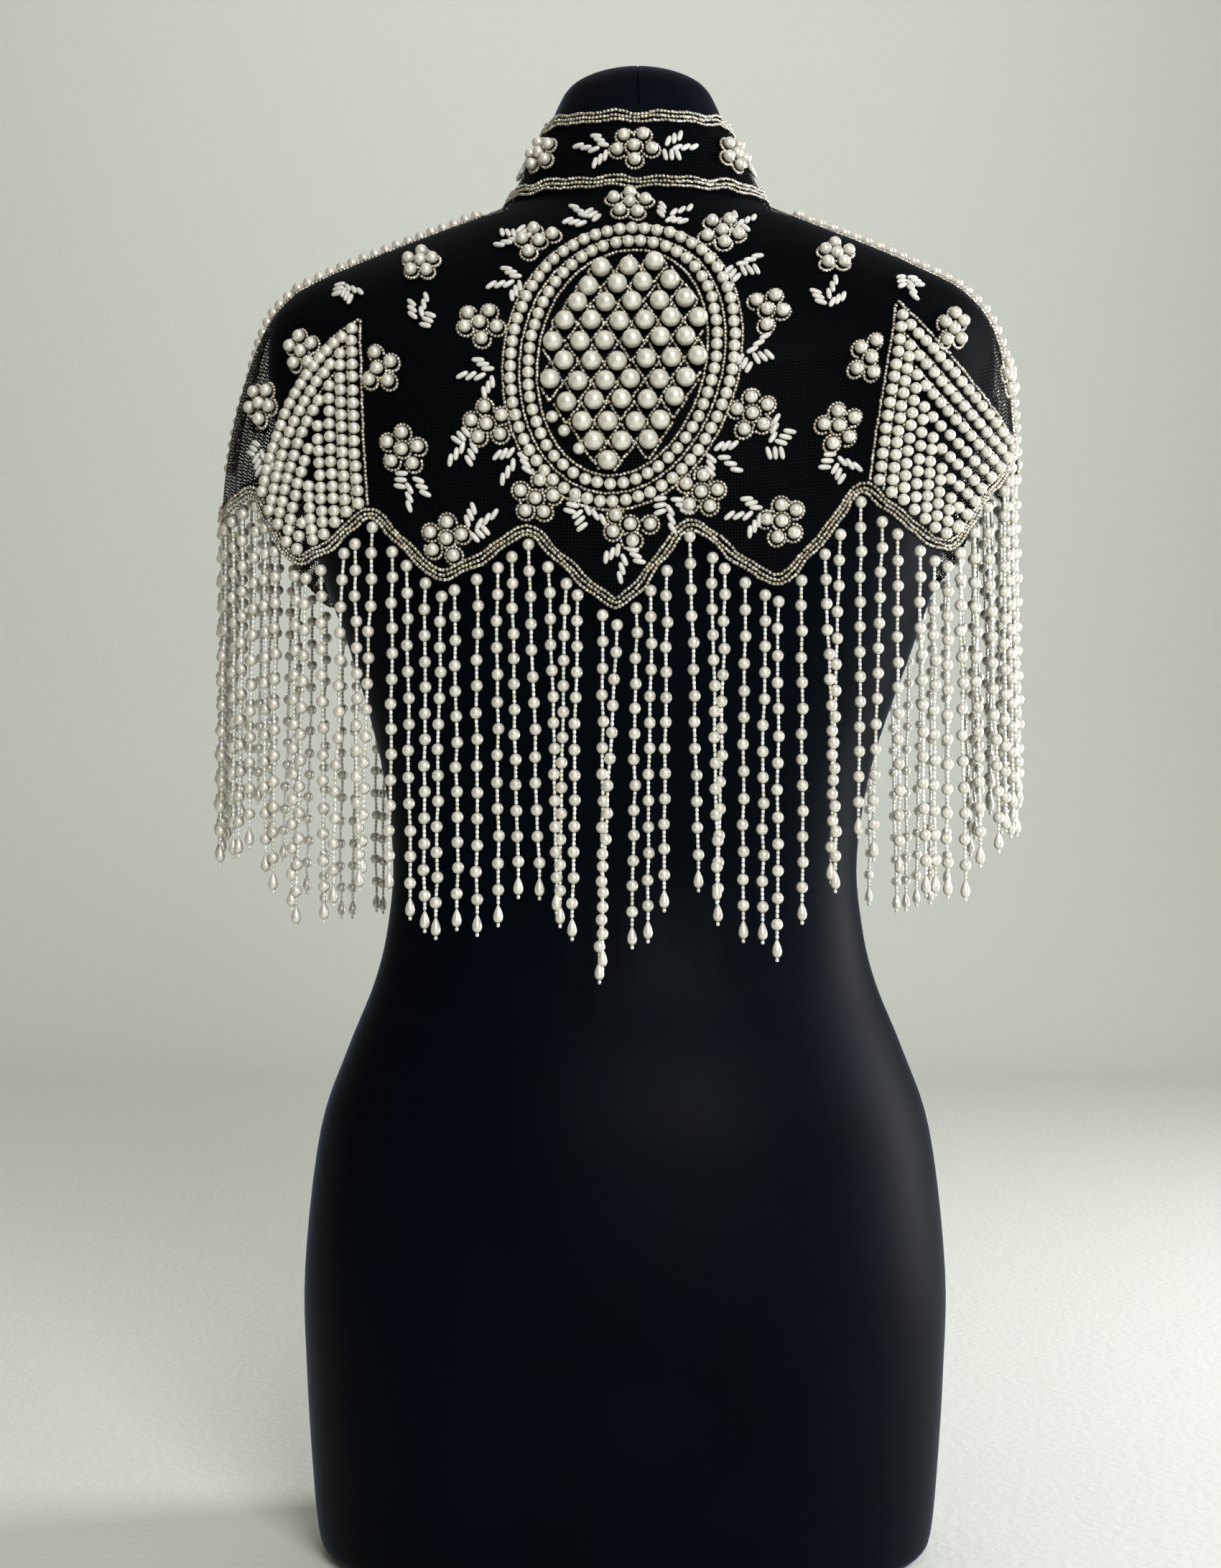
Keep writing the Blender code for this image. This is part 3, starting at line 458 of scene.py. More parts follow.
ARM_REACH = 60.0
TRIM_EDGE = 7.2
TRIM_REACH = 9.0

# Soft ridges of the net, as the cloth eases over the form: middle, rings that they span,
# width, how far they lean across and height. They grow on a little below their low ring.
# The last two of each draw the sides in above the hem, more so on the right.
Fold = namedtuple("Fold", "across top low width lean height")
FOLD_CARRY = 1.3
BACK_FOLDS = (
    Fold(-205, 7.2, 11.0, 15, -6, 2.0),
    Fold(-131, 8.0, 10.6, 9, -3, 1.1),
    Fold(-28, 9.6, 11.6, 8, 2, 0.8),
    Fold(52, 9.2, 11.4, 10, 4, 1.0),
    Fold(128, 7.6, 9.9, 9, 5, 1.2),
    Fold(202, 6.6, 10.4, 13, 7, 1.8),
    Fold(-268, 8.6, 10.6, 42, 0, -2.6),
    Fold(268, 8.0, 10.0, 45, 0, -7.4),
)
FRONT_FOLDS = (
    Fold(-222, 7.0, 10.8, 14, -6, 1.9),
    Fold(-118, 7.8, 10.8, 10, -4, 1.3),
    Fold(-58, 9.0, 11.2, 8, -2, 0.9),
    Fold(62, 8.8, 11.0, 9, 3, 1.0),
    Fold(122, 7.4, 10.6, 11, 4, 1.4),
    Fold(218, 6.8, 10.9, 13, 6, 1.8),
    Fold(-293, 8.6, 10.6, 42, 0, -2.6),
    Fold(293, 8.0, 10.0, 45, 0, -7.4),
)


def flat(across, ring):
    """A place on the cloth as a point of the flat pattern."""
    return np.array((across, -ring * RING_DROP), float)


def section_rows(table):
    """A section table with one more row, in line with the others, at each end."""
    rows = np.array(table, float)
    return np.vstack([2 * rows[0] - rows[1], rows, 2 * rows[-1] - rows[-2]])


def curve(before, here, after, beyond, share):
    """A smooth curve through four knots, at a share of the way from here to after."""
    straight = (after - before) * share
    bend = (2 * before - 5 * here + 4 * after - beyond) * share**2
    twist = (3 * here - before - 3 * after + beyond) * share**3
    return 0.5 * (2 * here + straight + bend + twist)


def sections_at(rows, rings):
    """Sections at fractional rings, on a smooth curve through the table's rows."""
    low = np.clip(np.floor(rings).astype(int), 0, len(rows) - 4)
    return curve(*(rows[low + i] for i in range(4)), (rings - low)[:, None])


def ring_points(sections, angles):
    """Points of level rings. Angle 0 is centre back and grows towards +X."""
    half_width, back, front, side_z, back_z, front_z, squareness, shift = sections.T
    sine = np.sin(angles)
    cosine = np.cos(angles)
    power = 2 / squareness
    depth = np.where(cosine >= 0, back, front)
    end_z = np.where(cosine >= 0, back_z, front_z)
    x = shift + half_width * np.sign(sine) * np.abs(sine) ** power
    y = -depth * np.sign(cosine) * np.abs(cosine) ** power
    return np.stack([x, y, side_z + (end_z - side_z) * cosine**2], axis=1)


def unit(vectors):
    return vectors / np.maximum(np.linalg.norm(vectors, axis=-1, keepdims=True), TINY)


def surface(rows, rings, angles):
    """Points of a ringed surface and its outward directions there."""
    below = ring_points(sections_at(rows, rings + SURFACE_STEP), angles)
    above = ring_points(sections_at(rows, rings - SURFACE_STEP), angles)
    here = sections_at(rows, rings)
    right = ring_points(here, angles + SURFACE_STEP)
    left = ring_points(here, angles - SURFACE_STEP)
    return ring_points(here, angles), unit(np.cross(below - above, right - left))


class Cloth:
    """A ringed surface, measured in millimetres across from one centre line."""

    def __init__(self, sections, from_front=False, folds=()):
        self.rows = section_rows(sections)
        self.last = len(sections) - 1
        self.from_front = from_front
        self.folds = folds
        self.angles = np.linspace(0, math.pi, ANGLE_COUNT)
        self.steps = np.linspace(0, self.last, STEPS_PER_RING * self.last + 1)
        lengths = []
        for ring in self.steps:
            ones = np.full(len(self.angles), ring)
            points = ring_points(sections_at(self.rows, ones), self.angles)
            lengths.append(line_lengths(points))
        self.lengths = np.array(lengths)

    def lengths_at(self, ring):
        """Lengths round one ring from centre back, up to each of the angles."""
        spot = min(max(ring, 0), self.last) / self.last * (len(self.steps) - 1)
        low = min(int(spot), len(self.steps) - 2)
        part = spot - low
        return self.lengths[low] * (1 - part) + self.lengths[low + 1] * part

    def across_at(self, angle, ring):
        lengths = self.lengths_at(ring)
        length = np.interp(abs(angle), self.angles, lengths)
        if self.from_front:
            length = lengths[-1] - length
        return math.copysign(length, angle)

    def angles_at(self, across, rings):
        found = []
        for distance, ring in zip(across, rings):
            lengths = self.lengths_at(ring)
            length = abs(distance)
            if self.from_front:
                length = lengths[-1] - length
            found.append(math.copysign(np.interp(length, lengths, self.angles), distance))
        return np.array(found)

    def seam_at(self, side, ring):
        """Where the side seam runs, with half of the gap left open."""
        return side * (abs(self.across_at(math.pi / 2, ring)) - SEAM_GAP / 2)

    def ease(self, spots):
        """How far the cloth's soft ridges lift it at flat points."""
        lift = np.zeros(len(spots))
        rings = -spots[:, 1] / RING_DROP
        for fold in self.folds:
            share = np.clip((rings - fold.top) / (fold.low - fold.top), 0, FOLD_CARRY)
            middle = fold.across + fold.lean * share
            ridge = np.exp(-(((spots[:, 0] - middle) / fold.width) ** 2))
            lift += fold.height * share * ridge
        return lift

    def lay(self, spots, out):
        """Points over flat points of the cloth, and the outward directions there."""
        spots = np.atleast_2d(spots)
        rings = -spots[:, 1] / RING_DROP
        angles = self.angles_at(spots[:, 0], rings)
        points, normals = surface(self.rows, rings, angles)
        return points + normals * (out + self.ease(spots))[:, None], normals

    def scale_at(self, spot):
        """Real lengths over the surface of a step across and a step up, at a flat point."""
        here = self.lay(spot, 0)[0]
        across = np.linalg.norm(self.lay(spot + (1, 0), 0)[0] - here)
        up = np.linalg.norm(self.lay(spot + (0, 1), 0)[0] - here)
        return np.array((across, up))

    def moved(self, spot, turn, distance):
        """A flat point moved by a real distance over the surface, in degrees."""
        angle = math.radians(turn)
        shift = np.array((math.cos(angle), math.sin(angle)))
        return spot + shift * distance / self.scale_at(spot)


def line_lengths(points):
    steps = np.linalg.norm(np.diff(points, axis=0), axis=1)
    return np.concatenate([[0], np.cumsum(steps)])


def along_line(points, targets):
    """Points at given lengths along a line of points."""
    lengths = line_lengths(points)
    return np.stack([np.interp(targets, lengths, axis) for axis in points.T], axis=1)


def finer(line, step=FINE_STEP):
    """The same line with points no further apart than step."""
    total = line_lengths(line)[-1]
    return along_line(line, np.linspace(0, total, max(2, math.ceil(total / step) + 1)))


BACK = Cloth(CAPE, folds=BACK_FOLDS)
FRONT = Cloth(CAPE, from_front=True, folds=FRONT_FOLDS)
STAND = Cloth(COLLAR)
COLLAR_LAST = len(COLLAR) - 1


def piece_distances(spots, start, along):
    """Distances of flat points from the nearest of some straight pieces."""
    share = ((spots - start) * along).sum(-1) / np.maximum((along**2).sum(-1), TINY)
    foot = start + along * np.clip(share, 0, 1)[..., None]
    return np.linalg.norm(spots - foot, axis=-1).min(1)


def edge_distances(spots, loop):
    """Distances of flat points from a closed outline, negative outside it."""
    spots = np.atleast_2d(spots)[:, None]
    start = loop[None]
    after = np.roll(loop, -1, axis=0)[None]
    along = after - start
    near = piece_distances(spots, start, along)
    crossed = (start[..., 1] > spots[..., 1]) != (after[..., 1] > spots[..., 1])
    height = np.where(np.abs(along[..., 1]) < TINY, TINY, along[..., 1])
    x = start[..., 0] + along[..., 0] * (spots[..., 1] - start[..., 1]) / height
    inside = (crossed & (spots[..., 0] < x)).sum(1) % 2 == 1
    return np.where(inside, near, -near)


def line_distances(spots, line):
    """Distances of flat points from an open line."""
    spots = np.atleast_2d(spots)[:, None]
    return piece_distances(spots, line[None, :-1], np.diff(line, axis=0)[None])


def sideways(line):
    """Directions across a flat line, to the left of its run."""
    along = unit(np.gradient(line, axis=0))
    return np.stack([-along[:, 1], along[:, 0]], axis=1)


def scalloped(knots):
    """Flat points along a hem's knots, hanging a little below straight lines between."""
    line = [flat(*knots[0])]
    for start, end in zip(knots, knots[1:]):
        count = max(1, round(np.linalg.norm(flat(*end) - flat(*start)) / HEM_STEP))
        bow = -SCALLOP_BOW if end.ring < start.ring else SCALLOP_BOW
        for i in range(1, count + 1):
            share = i / count
            ring = start.ring + (end.ring - start.ring) * (share + bow * share * (1 - share))
            line.append(flat(start.across + (end.across - start.across) * share, ring))
    return np.array(line)


def on_seam(cloth, spot):
    """A flat point near a side seam, moved onto the seam."""
    return np.array((cloth.seam_at(math.copysign(1, spot[0]), -spot[1] / RING_DROP), spot[1]))


def back_hem():
    line = scalloped(BACK_HEM)
    line[0] = on_seam(BACK, line[0])
    line[-1] = on_seam(BACK, line[-1])
    return line


def front_hem(side):
    line = scalloped([Place(side * across, ring) for across, ring in FRONT_HEM])
    line[0][0] = side * FRONT_OPENING / 2
    line[-1] = on_seam(FRONT, line[-1])
    return line


def waved(line, height, phase=0.0):
    """A flat line with a slight, uneven wave, its ends kept in place."""
    lengths = line_lengths(line)
    waves = (np.sin(2 * math.pi * lengths / length + length + phase) for length in WAVE_LENGTHS)
    taper = np.clip(np.minimum(lengths, lengths[-1] - lengths) / WAVE_LENGTHS[0], 0, 1)
    return line + sideways(line) * (height * sum(waves) * taper)[:, None]


def sewn(line):
    """A flat edge with rounded corners and a slight wave, its ends kept in place."""
    line = finer(line, ROW_STEP)
    before = 2 * line[0] - line[ROUND_REACH:0:-1]
    after = 2 * line[-1] - line[-2 : -ROUND_REACH - 2 : -1]
    padded = np.vstack([before, line, after])
    share = np.hanning(2 * ROUND_REACH + 3)[1:-1]
    share /= share.sum()
    soft = np.stack([np.convolve(axis, share, "valid") for axis in padded.T], axis=1)
    return waved(soft, WAVE)


def linear(code):
    """Linear colour from an sRGB hex code."""
    shares = [int(code[i : i + 2], 16) / 255 for i in (1, 3, 5)]
    return tuple(s / 12.92 if s <= 0.04045 else ((s + 0.055) / 1.055) ** 2.4 for s in shares)


def length_setting(name, default, description):
    """A length setting, in metres."""
    return FloatProperty(name=name, description=description, default=default, unit="LENGTH")


def colour_setting(name, code, description):
    """A colour setting that starts from an sRGB hex code."""
    return FloatVectorProperty(
        name=name,
        description=description,
        default=linear(code),
        subtype="COLOR",
        min=0,
        max=1,
    )


class CapeletSizes(bpy.types.PropertyGroup):
    """Real sizes of the beads and the net."""

    pearl: length_setting("Pearl", 0.006, "Width of the pearls in rings, wings and fringe")
    flower_pearl: length_setting("Flower pearl", 0.0064, "Width of the pearls in the flowers")
    field_pearl: length_setting("Large pearl", 0.0095, "Width of the medallion's large pearls")
    seed_length: length_setting("Seed length", 0.0020, "Length of a seed bead along its thread")
    seed_width: length_setting("Seed width", 0.0019, "Width of a silver-lined seed bead")
    rice_length: length_setting("Rice bead length", 0.0066, "Length of a leaf spray's rice bead")
    rice_width: length_setting("Rice bead width", 0.0028, "Width of a white rice bead")
    drop_length: length_setting("Drop length", 0.009, "Length of the drop that ends a strand")
    net_cell: length_setting("Net cell", 0.0012, "Width of one cell of the net")
    strand_pearls: IntProperty(
        name="Pearls on a strand",
        description="How many round pearls hang on each strand of the fringe",
        default=13,
        min=1,
    )


class CapeletColours(bpy.types.PropertyGroup):
    """Colours that a user would change."""

    pearl: colour_setting("Pearl", "#E4E0D3", "Nacre lacquer of the imitation pearls")
    rice: colour_setting("Rice bead", "#D6D4CD", "Opaque white glass of the rice beads")
    net: colour_setting("Net", "#050607", "Dyed nylon of the net")
    jersey: colour_setting("Jersey", "#01050D", "Dyed cotton jersey of the dress form")
    wall: colour_setting("Wall and floor", "#D5D8CF", "Matt emulsion behind and below the object")


def add_node(tree, kind, settings=None, values=None, links=None):
    """A shader node with its settings, socket values and incoming links."""
    node = tree.nodes.new(kind)
    for name, value in (settings or {}).items():
        setattr(node, name, value)
    for name, value in (values or {}).items():
        node.inputs[name].default_value = value
    for name, source in (links or {}).items():
        tree.links.new(source, node.inputs[name])
    return node


def new_material(name, values):
    """A material with a Principled shader, its node tree and that shader."""
    made = bpy.data.materials.new(name)
    made.use_nodes = True
    shader = made.node_tree.nodes["Principled BSDF"]
    for socket, value in values.items():
        shader.inputs[socket].default_value = value
    return made, made.node_tree, shader


def set_ramp(ramp, stops, interpolation="LINEAR"):
    """Colour stops of a ramp, from (position, colour) pairs."""
    ramp.interpolation = interpolation
    for position, _ in stops[2:]:
        ramp.elements.new(position)
    for element, (position, colour) in zip(ramp.elements, stops):
        element.position = position
        element.color = (*colour[:3], 1)


def scaled(colour, share):
    return tuple(channel * share for channel in colour[:3])


def cloudy(tree, shader, size, stops, **noise):
    """Base colour that drifts between two shades, in clouds of a size in millimetres."""
    place = add_node(tree, "ShaderNodeTexCoord")
    cloud = add_node(
        tree,
        "ShaderNodeTexNoise",
        values={"Scale": 1 / (size * MM), **noise},
        links={"Vector": place.outputs["Object"]},
    )
    ramp = add_node(tree, "ShaderNodeValToRGB", links={"Fac": cloud.outputs["Fac"]})
    set_ramp(ramp.color_ramp, stops)
    tree.links.new(ramp.outputs["Color"], shader.inputs["Base Color"])


def grainy(tree, shader, size, depth, strength, **noise):
    """A surface raised in soft grains, their size and depth in millimetres."""
    place = add_node(tree, "ShaderNodeTexCoord")
    grain = add_node(
        tree,
        "ShaderNodeTexNoise",
        values={"Scale": 1 / (size * MM), **noise},
        links={"Vector": place.outputs["Object"]},
    )
    bump = add_node(
        tree,
        "ShaderNodeBump",
        values={"Strength": strength, "Distance": depth * MM},
        links={"Height": grain.outputs["Fac"]},
    )
    tree.links.new(bump.outputs["Normal"], shader.inputs["Normal"])


def pearl_lacquer(colours):
    """Nacre lacquer over a moulded bead: a creamy, softly glossy skin, cloudy in places."""
    made, tree, shader = new_material(
        "nacre_lacquer",
        {
            "Metallic": 0.45,
            "Roughness": 0.36,
            "IOR": 1.6,
            "Coat Weight": 0.7,
            "Coat Roughness": 0.17,
            "Coat IOR": 1.5,
        },
    )
    base = colours.pearl
    stops = [(0.35, scaled(base, 0.82)), (0.68, scaled(base, 1.06))]
    cloudy(tree, shader, 7, stops, Detail=3.0, Roughness=0.6)
    return made


def white_glass(colours):
    """Pressed opaque glass of the rice beads: plain white with a small sharp shine."""
    made, tree, shader = new_material(
        "pressed_white_glass", {"Roughness": 0.22, "IOR": 1.52, "Coat Weight": 0.3}
    )
    base = colours.rice
    cloudy(tree, shader, 5, [(0.35, scaled(base, 0.86)), (0.65, base)])
    return made


def seed_glass(name, stops, sizes, metallic):
    """Clear glass over a silver-lined hole: each bead flashes in its own pale tint."""
    made, tree, shader = new_material(
        name,
        {
            "Metallic": metallic,
            "Coat Weight": 1.0,
            "Coat Roughness": 0.04,
            "Coat IOR": 1.52,
        },
    )
    place = add_node(tree, "ShaderNodeTexCoord")
    cells = add_node(
        tree,
        "ShaderNodeTexVoronoi",
        values={"Scale": 1 / sizes.seed_length},
        links={"Vector": place.outputs["Object"]},
    )
    parts = add_node(tree, "ShaderNodeSeparateColor", links={"Color": cells.outputs["Color"]})
    tint = add_node(tree, "ShaderNodeValToRGB", links={"Fac": parts.outputs["Red"]})
    set_ramp(tint.color_ramp, stops, "CONSTANT")
    polish = add_node(
        tree,
        "ShaderNodeMapRange",
        values={"To Min": 0.12, "To Max": 0.42},
        links={"Value": parts.outputs["Green"]},
    )
    tree.links.new(tint.outputs["Color"], shader.inputs["Base Color"])
    tree.links.new(polish.outputs["Result"], shader.inputs["Roughness"])
    return made


def trim_seed(sizes):
    """Seed beads of the trims: grey silver with gold, pink and blue flashes."""
    stops = [
        (0.0, linear("#9A9484")),
        (0.22, linear("#C2BDAC")),
        (0.42, linear("#A99D84")),
        (0.56, linear("#E6E1D4")),
        (0.72, linear("#B2A5A0")),
        (0.84, linear("#8B8B87")),
        (0.93, linear("#C8BA94")),
    ]
    return seed_glass("silver_lined_glass", stops, sizes, 0.75)


def strand_seed(sizes):
    """Seed beads between the strands' pearls: paler, with yellow and green flashes."""
    stops = [
        (0.0, linear("#D4D6C8")),
        (0.25, linear("#F0F0E8")),
        (0.5, linear("#CFCDA8")),
        (0.62, linear("#E4E7EB")),
        (0.8, linear("#BCC3BA")),
        (0.92, linear("#DFD3D6")),
    ]
    return seed_glass("rainbow_clear_glass", stops, sizes, 0.2)


# How many times as wide as a real cell the net's cells are drawn, so that they can show
NET_COARSENESS = 1.33


def nylon_net(colours, sizes):
    """Knitted nylon net: fine black threads with open cells, smoky where it hangs free."""
    made, tree, shader = new_material(
        "black_net",
        {"Roughness": 0.6, "Specular IOR Level": 0.02, "Base Color": (*colours.net, 1)},
    )
    place = add_node(tree, "ShaderNodeUVMap", settings={"uv_map": "flat"})
    cells = add_node(
        tree,
        "ShaderNodeTexVoronoi",
        settings={"feature": "DISTANCE_TO_EDGE"},
        values={"Scale": 1 / (NET_COARSENESS * sizes.net_cell), "Randomness": 0.3},
        links={"Vector": place.outputs["UV"]},
    )
    thread = add_node(
        tree,
        "ShaderNodeMapRange",
        values={"From Min": 0.16, "From Max": 0.22, "To Min": 1.0, "To Max": 0.09},
        links={"Value": cells.outputs["Distance"]},
    )
    tree.links.new(thread.outputs["Result"], shader.inputs["Alpha"])
    return made


def cotton_jersey(colours):
    """Fine black cotton jersey stretched over the form: matt, with a faint brushed nap.

    Its knit columns are about 0.8 mm apart: drawn true to size, they show only close up.
    The shade drifts over 60 mm or so, as the cover is stretched more or less.
    """
    made, tree, shader = new_material(
        "black_jersey",
        {
            "Roughness": 0.5,
            "Specular IOR Level": 0.035,
            "Sheen Weight": 0.36,
            "Sheen Roughness": 0.18,
            "Sheen Tint": (*linear("#5A84CA"), 1),
        },
    )
    base = colours.jersey
    stops = [(0.3, scaled(base, 0.8)), (0.7, scaled(base, 1.25))]
    cloudy(tree, shader, 60, stops, Detail=3.0)
    grainy(tree, shader, 0.8, depth=0.2, strength=0.25)
    return made


def wall_paint(colours):
    """Matt emulsion rolled on plaster: pale grey with a fine stipple of about 6 mm."""
    made, tree, shader = new_material(
        "matt_emulsion", {"Roughness": 0.9, "Base Color": (*colours.wall, 1)}
    )
    grainy(tree, shader, 6, depth=1.2, strength=0.5, Detail=4.0)
    return made


Kind = namedtuple("Kind", "points corners sizes")


def turned(profile, sides):
    """A closed bead of width and length 1, turned round its own length.

    The profile's (radius, height) pairs start and end on the middle line.
    """
    turn = np.arange(sides) * 2 * math.pi / sides
    points = [(0, 0, profile[0][1])]
    for radius, height in profile[1:-1]:
        points += [(radius * math.cos(t), radius * math.sin(t), height) for t in turn]
    points.append((0, 0, profile[-1][1]))
    rings = len(profile) - 2
    corners = []
    sizes = []
    for i in range(sides):
        after = (i + 1) % sides
        corners += [0, 1 + after, 1 + i]
        sizes.append(3)
        for ring in range(rings - 1):
            low = 1 + ring * sides
            corners += [low + i, low + after, low + sides + after, low + sides + i]
            sizes.append(4)
        top = 1 + (rings - 1) * sides
        corners += [top + i, top + after, len(points) - 1]
        sizes.append(3)
    return Kind(np.array(points, float), np.array(corners), np.array(sizes))


def ball(rows, sides):
    turns = np.linspace(0, math.pi, rows + 1)
    profile = [(math.sin(t) / 2, -math.cos(t) / 2) for t in turns]
    return turned(profile, sides)


PEARL_KIND = ball(rows=7, sides=10)
LARGE_PEARL_KIND = ball(rows=14, sides=20)
SEED_KIND = turned(((0, -0.5), (0.4, -0.44), (0.5, 0), (0.4, 0.44), (0, 0.5)), sides=6)
RICE_PROFILE = (
    (0, -0.5),
    (0.26, -0.46),
    (0.44, -0.3),
    (0.5, 0),
    (0.44, 0.3),
    (0.26, 0.46),
    (0, 0.5),
)
DROP_PROFILE = (
    (0, -0.5),
    (0.28, -0.46),
    (0.46, -0.32),
    (0.5, -0.14),
    (0.4, 0.1),
    (0.22, 0.32),
    (0.1, 0.46),
    (0, 0.5),
)
RICE_KIND = turned(RICE_PROFILE, sides=8)
DROP_KIND = turned(DROP_PROFILE, sides=10)


class Beadwork:
    """Beads of one piece, gathered kind by kind and made as one mesh."""

    def __init__(self, name):
        self.name = name
        self.finishes = []
        self.points = []
        self.corners = []
        self.sizes = []
        self.slots = []
        self.count = 0

    def add(self, kind, finish, centres, along, width, length=None):
        """Beads of one kind at centres, each with its hole in the direction along."""
        centres = np.atleast_2d(centres)
        along = unit(np.broadcast_to(along, centres.shape).astype(float))
        steady = np.where(np.abs(along[:, 2:]) < STEEP, (0, 0, 1), (1, 0, 0))
        side = unit(np.cross(along, steady))
        third = np.cross(along, side)
        width = np.broadcast_to(width, len(centres))[:, None, None]
        length = width if length is None else np.broadcast_to(length, len(centres))[:, None, None]
        x, y, z = (kind.points[None, :, i, None] for i in range(3))
        points = centres[:, None] + (side[:, None] * x + third[:, None] * y) * width
        points = points + along[:, None] * z * length
        starts = self.count + np.arange(len(centres)) * len(kind.points)
        if finish not in self.finishes:
            self.finishes.append(finish)
        self.points.append(points.reshape(-1, 3))
        self.corners.append((kind.corners[None] + starts[:, None]).ravel())
        self.sizes.append(np.tile(kind.sizes, len(centres)))
        total = len(centres) * len(kind.sizes)
        self.slots.append(np.full(total, self.finishes.index(finish)))
        self.count += len(centres) * len(kind.points)

    def build(self, slot, *nodes):
        """The piece as an object that rides on the part and stands for its solids."""
        mesh = bpy.data.meshes.new(self.name)
        points = np.concatenate(self.points) * MM
        corners = np.concatenate(self.corners)
        sizes = np.concatenate(self.sizes)
        mesh.vertices.add(len(points))
        mesh.vertices.foreach_set("co", points.ravel().astype(np.float32))
        mesh.loops.add(len(corners))
        mesh.loops.foreach_set("vertex_index", corners.astype(np.int32))
        mesh.polygons.add(len(sizes))
        starts = np.concatenate([[0], np.cumsum(sizes)[:-1]])
        mesh.polygons.foreach_set("loop_start", starts.astype(np.int32))
        mesh.polygons.foreach_set("material_index", np.concatenate(self.slots).astype(np.int32))
        for finish in self.finishes:
            mesh.materials.append(finish)
        mesh.update(calc_edges=True)
        mesh.shade_smooth()
        return place(bpy.data.objects.new(self.name, mesh), slot, *nodes)


def place(obj, slot, *nodes):
    """Links a piece, rides it on the part and lets it stand for its solids."""
    bpy.context.scene.collection.objects.link(obj)
    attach(obj, "root")
    if nodes:
        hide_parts(*nodes)
    return obj


def finishes(context):
    """The materials of the beads and cloth, made once and then shared."""
    sizes = context.scene.capelet_sizes
    colours = context.scene.capelet_colours
    made = {
        "nacre_lacquer": lambda: pearl_lacquer(colours),
        "pressed_white_glass": lambda: white_glass(colours),
        "silver_lined_glass": lambda: trim_seed(sizes),
        "rainbow_clear_glass": lambda: strand_seed(sizes),
        "black_net": lambda: nylon_net(colours, sizes),
        "black_jersey": lambda: cotton_jersey(colours),
        "matt_emulsion": lambda: wall_paint(colours),
    }
    return {name: bpy.data.materials.get(name) or make() for name, make in made.items()}


class Supplies:
    """Bead sizes in millimetres and the finishes, for the pieces that use them."""

    def __init__(self, context):
        sizes = context.scene.capelet_sizes
        self.pearl = sizes.pearl / MM
        self.flower_pearl = sizes.flower_pearl / MM
        self.field_pearl = sizes.field_pearl / MM
        self.seed_length = sizes.seed_length / MM
        self.seed_width = sizes.seed_width / MM
        self.rice_length = sizes.rice_length / MM
        self.rice_width = sizes.rice_width / MM
        self.drop_length = sizes.drop_length / MM
        self.strand_pearls = sizes.strand_pearls
        made = finishes(context)
        self.nacre = made["nacre_lacquer"]
        self.white = made["pressed_white_glass"]
        self.silver = made["silver_lined_glass"]
        self.rainbow = made["rainbow_clear_glass"]
        self.net = made["black_net"]
        self.jersey = made["black_jersey"]
        self.paint = made["matt_emulsion"]


def row_on(cloth, line, pitch, out):
    """Centres and directions of beads spaced evenly along a flat line on the cloth."""
    points, _ = cloth.lay(finer(line), out)
    total = line_lengths(points)[-1]
    count = max(1, round(total / pitch))
    targets = (np.arange(count) + 0.5) * total / count
    ahead = along_line(points, targets + pitch / 2)
    behind = along_line(points, targets - pitch / 2)
    return along_line(points, targets), ahead - behind


def seed_row(beads, cloth, line, supplies, wave, seed):
    """A row of seed beads sewn down along a flat line, each a little off it."""
    if len(line) < 2:
        return
    out = NET_OUT + supplies.seed_width / 2
    centres, along = row_on(cloth, line, supplies.seed_length, out)
    chance = np.random.default_rng(seed)
    shake = chance.normal(0, 1, (len(centres), 3))
    tilt = unit(along) + shake * SEED_TILT
    centres = centres + shake[::-1] * wave
    width = supplies.seed_width * chance.uniform(*SEED_WIDTHS, len(centres))
    length = supplies.seed_length * chance.uniform(*SEED_LENGTHS, len(centres))
    beads.add(SEED_KIND, supplies.silver, centres, tilt, width, length)


def pearl_row(beads, cloth, line, pitch, supplies):
    """A row of pearls sewn down along a flat line."""
    out = NET_OUT + supplies.pearl / 2
    centres, along = row_on(cloth, line, pitch, out)
    shake = np.random.default_rng(len(centres)).uniform(-ROW_SHAKE, ROW_SHAKE, centres.shape)
    beads.add(PEARL_KIND, supplies.nacre, centres + shake, along, supplies.pearl)


def inset_line(line, distance, inward):
    """A flat line moved sideways, without the points that would cross at its corners."""
    line = finer(line, ROW_STEP)
    moved = line + sideways(line) * inward * distance
    return moved[line_distances(moved, line) > distance - CORNER_SLACK]


def trim_rows(beads, cloth, edge, inward, supplies, seed):
    """Three rows of seed beads inside an edge."""
    for i, distance in enumerate(TRIM_ROWS):
        line = inset_line(edge, TRIM_INSET + distance, inward)
        line = waved(line, ROW_WAVE, phase=ROW_PHASE * i + seed)
        seed_row(beads, cloth, line, supplies, TRIM_SHAKE, seed + i)


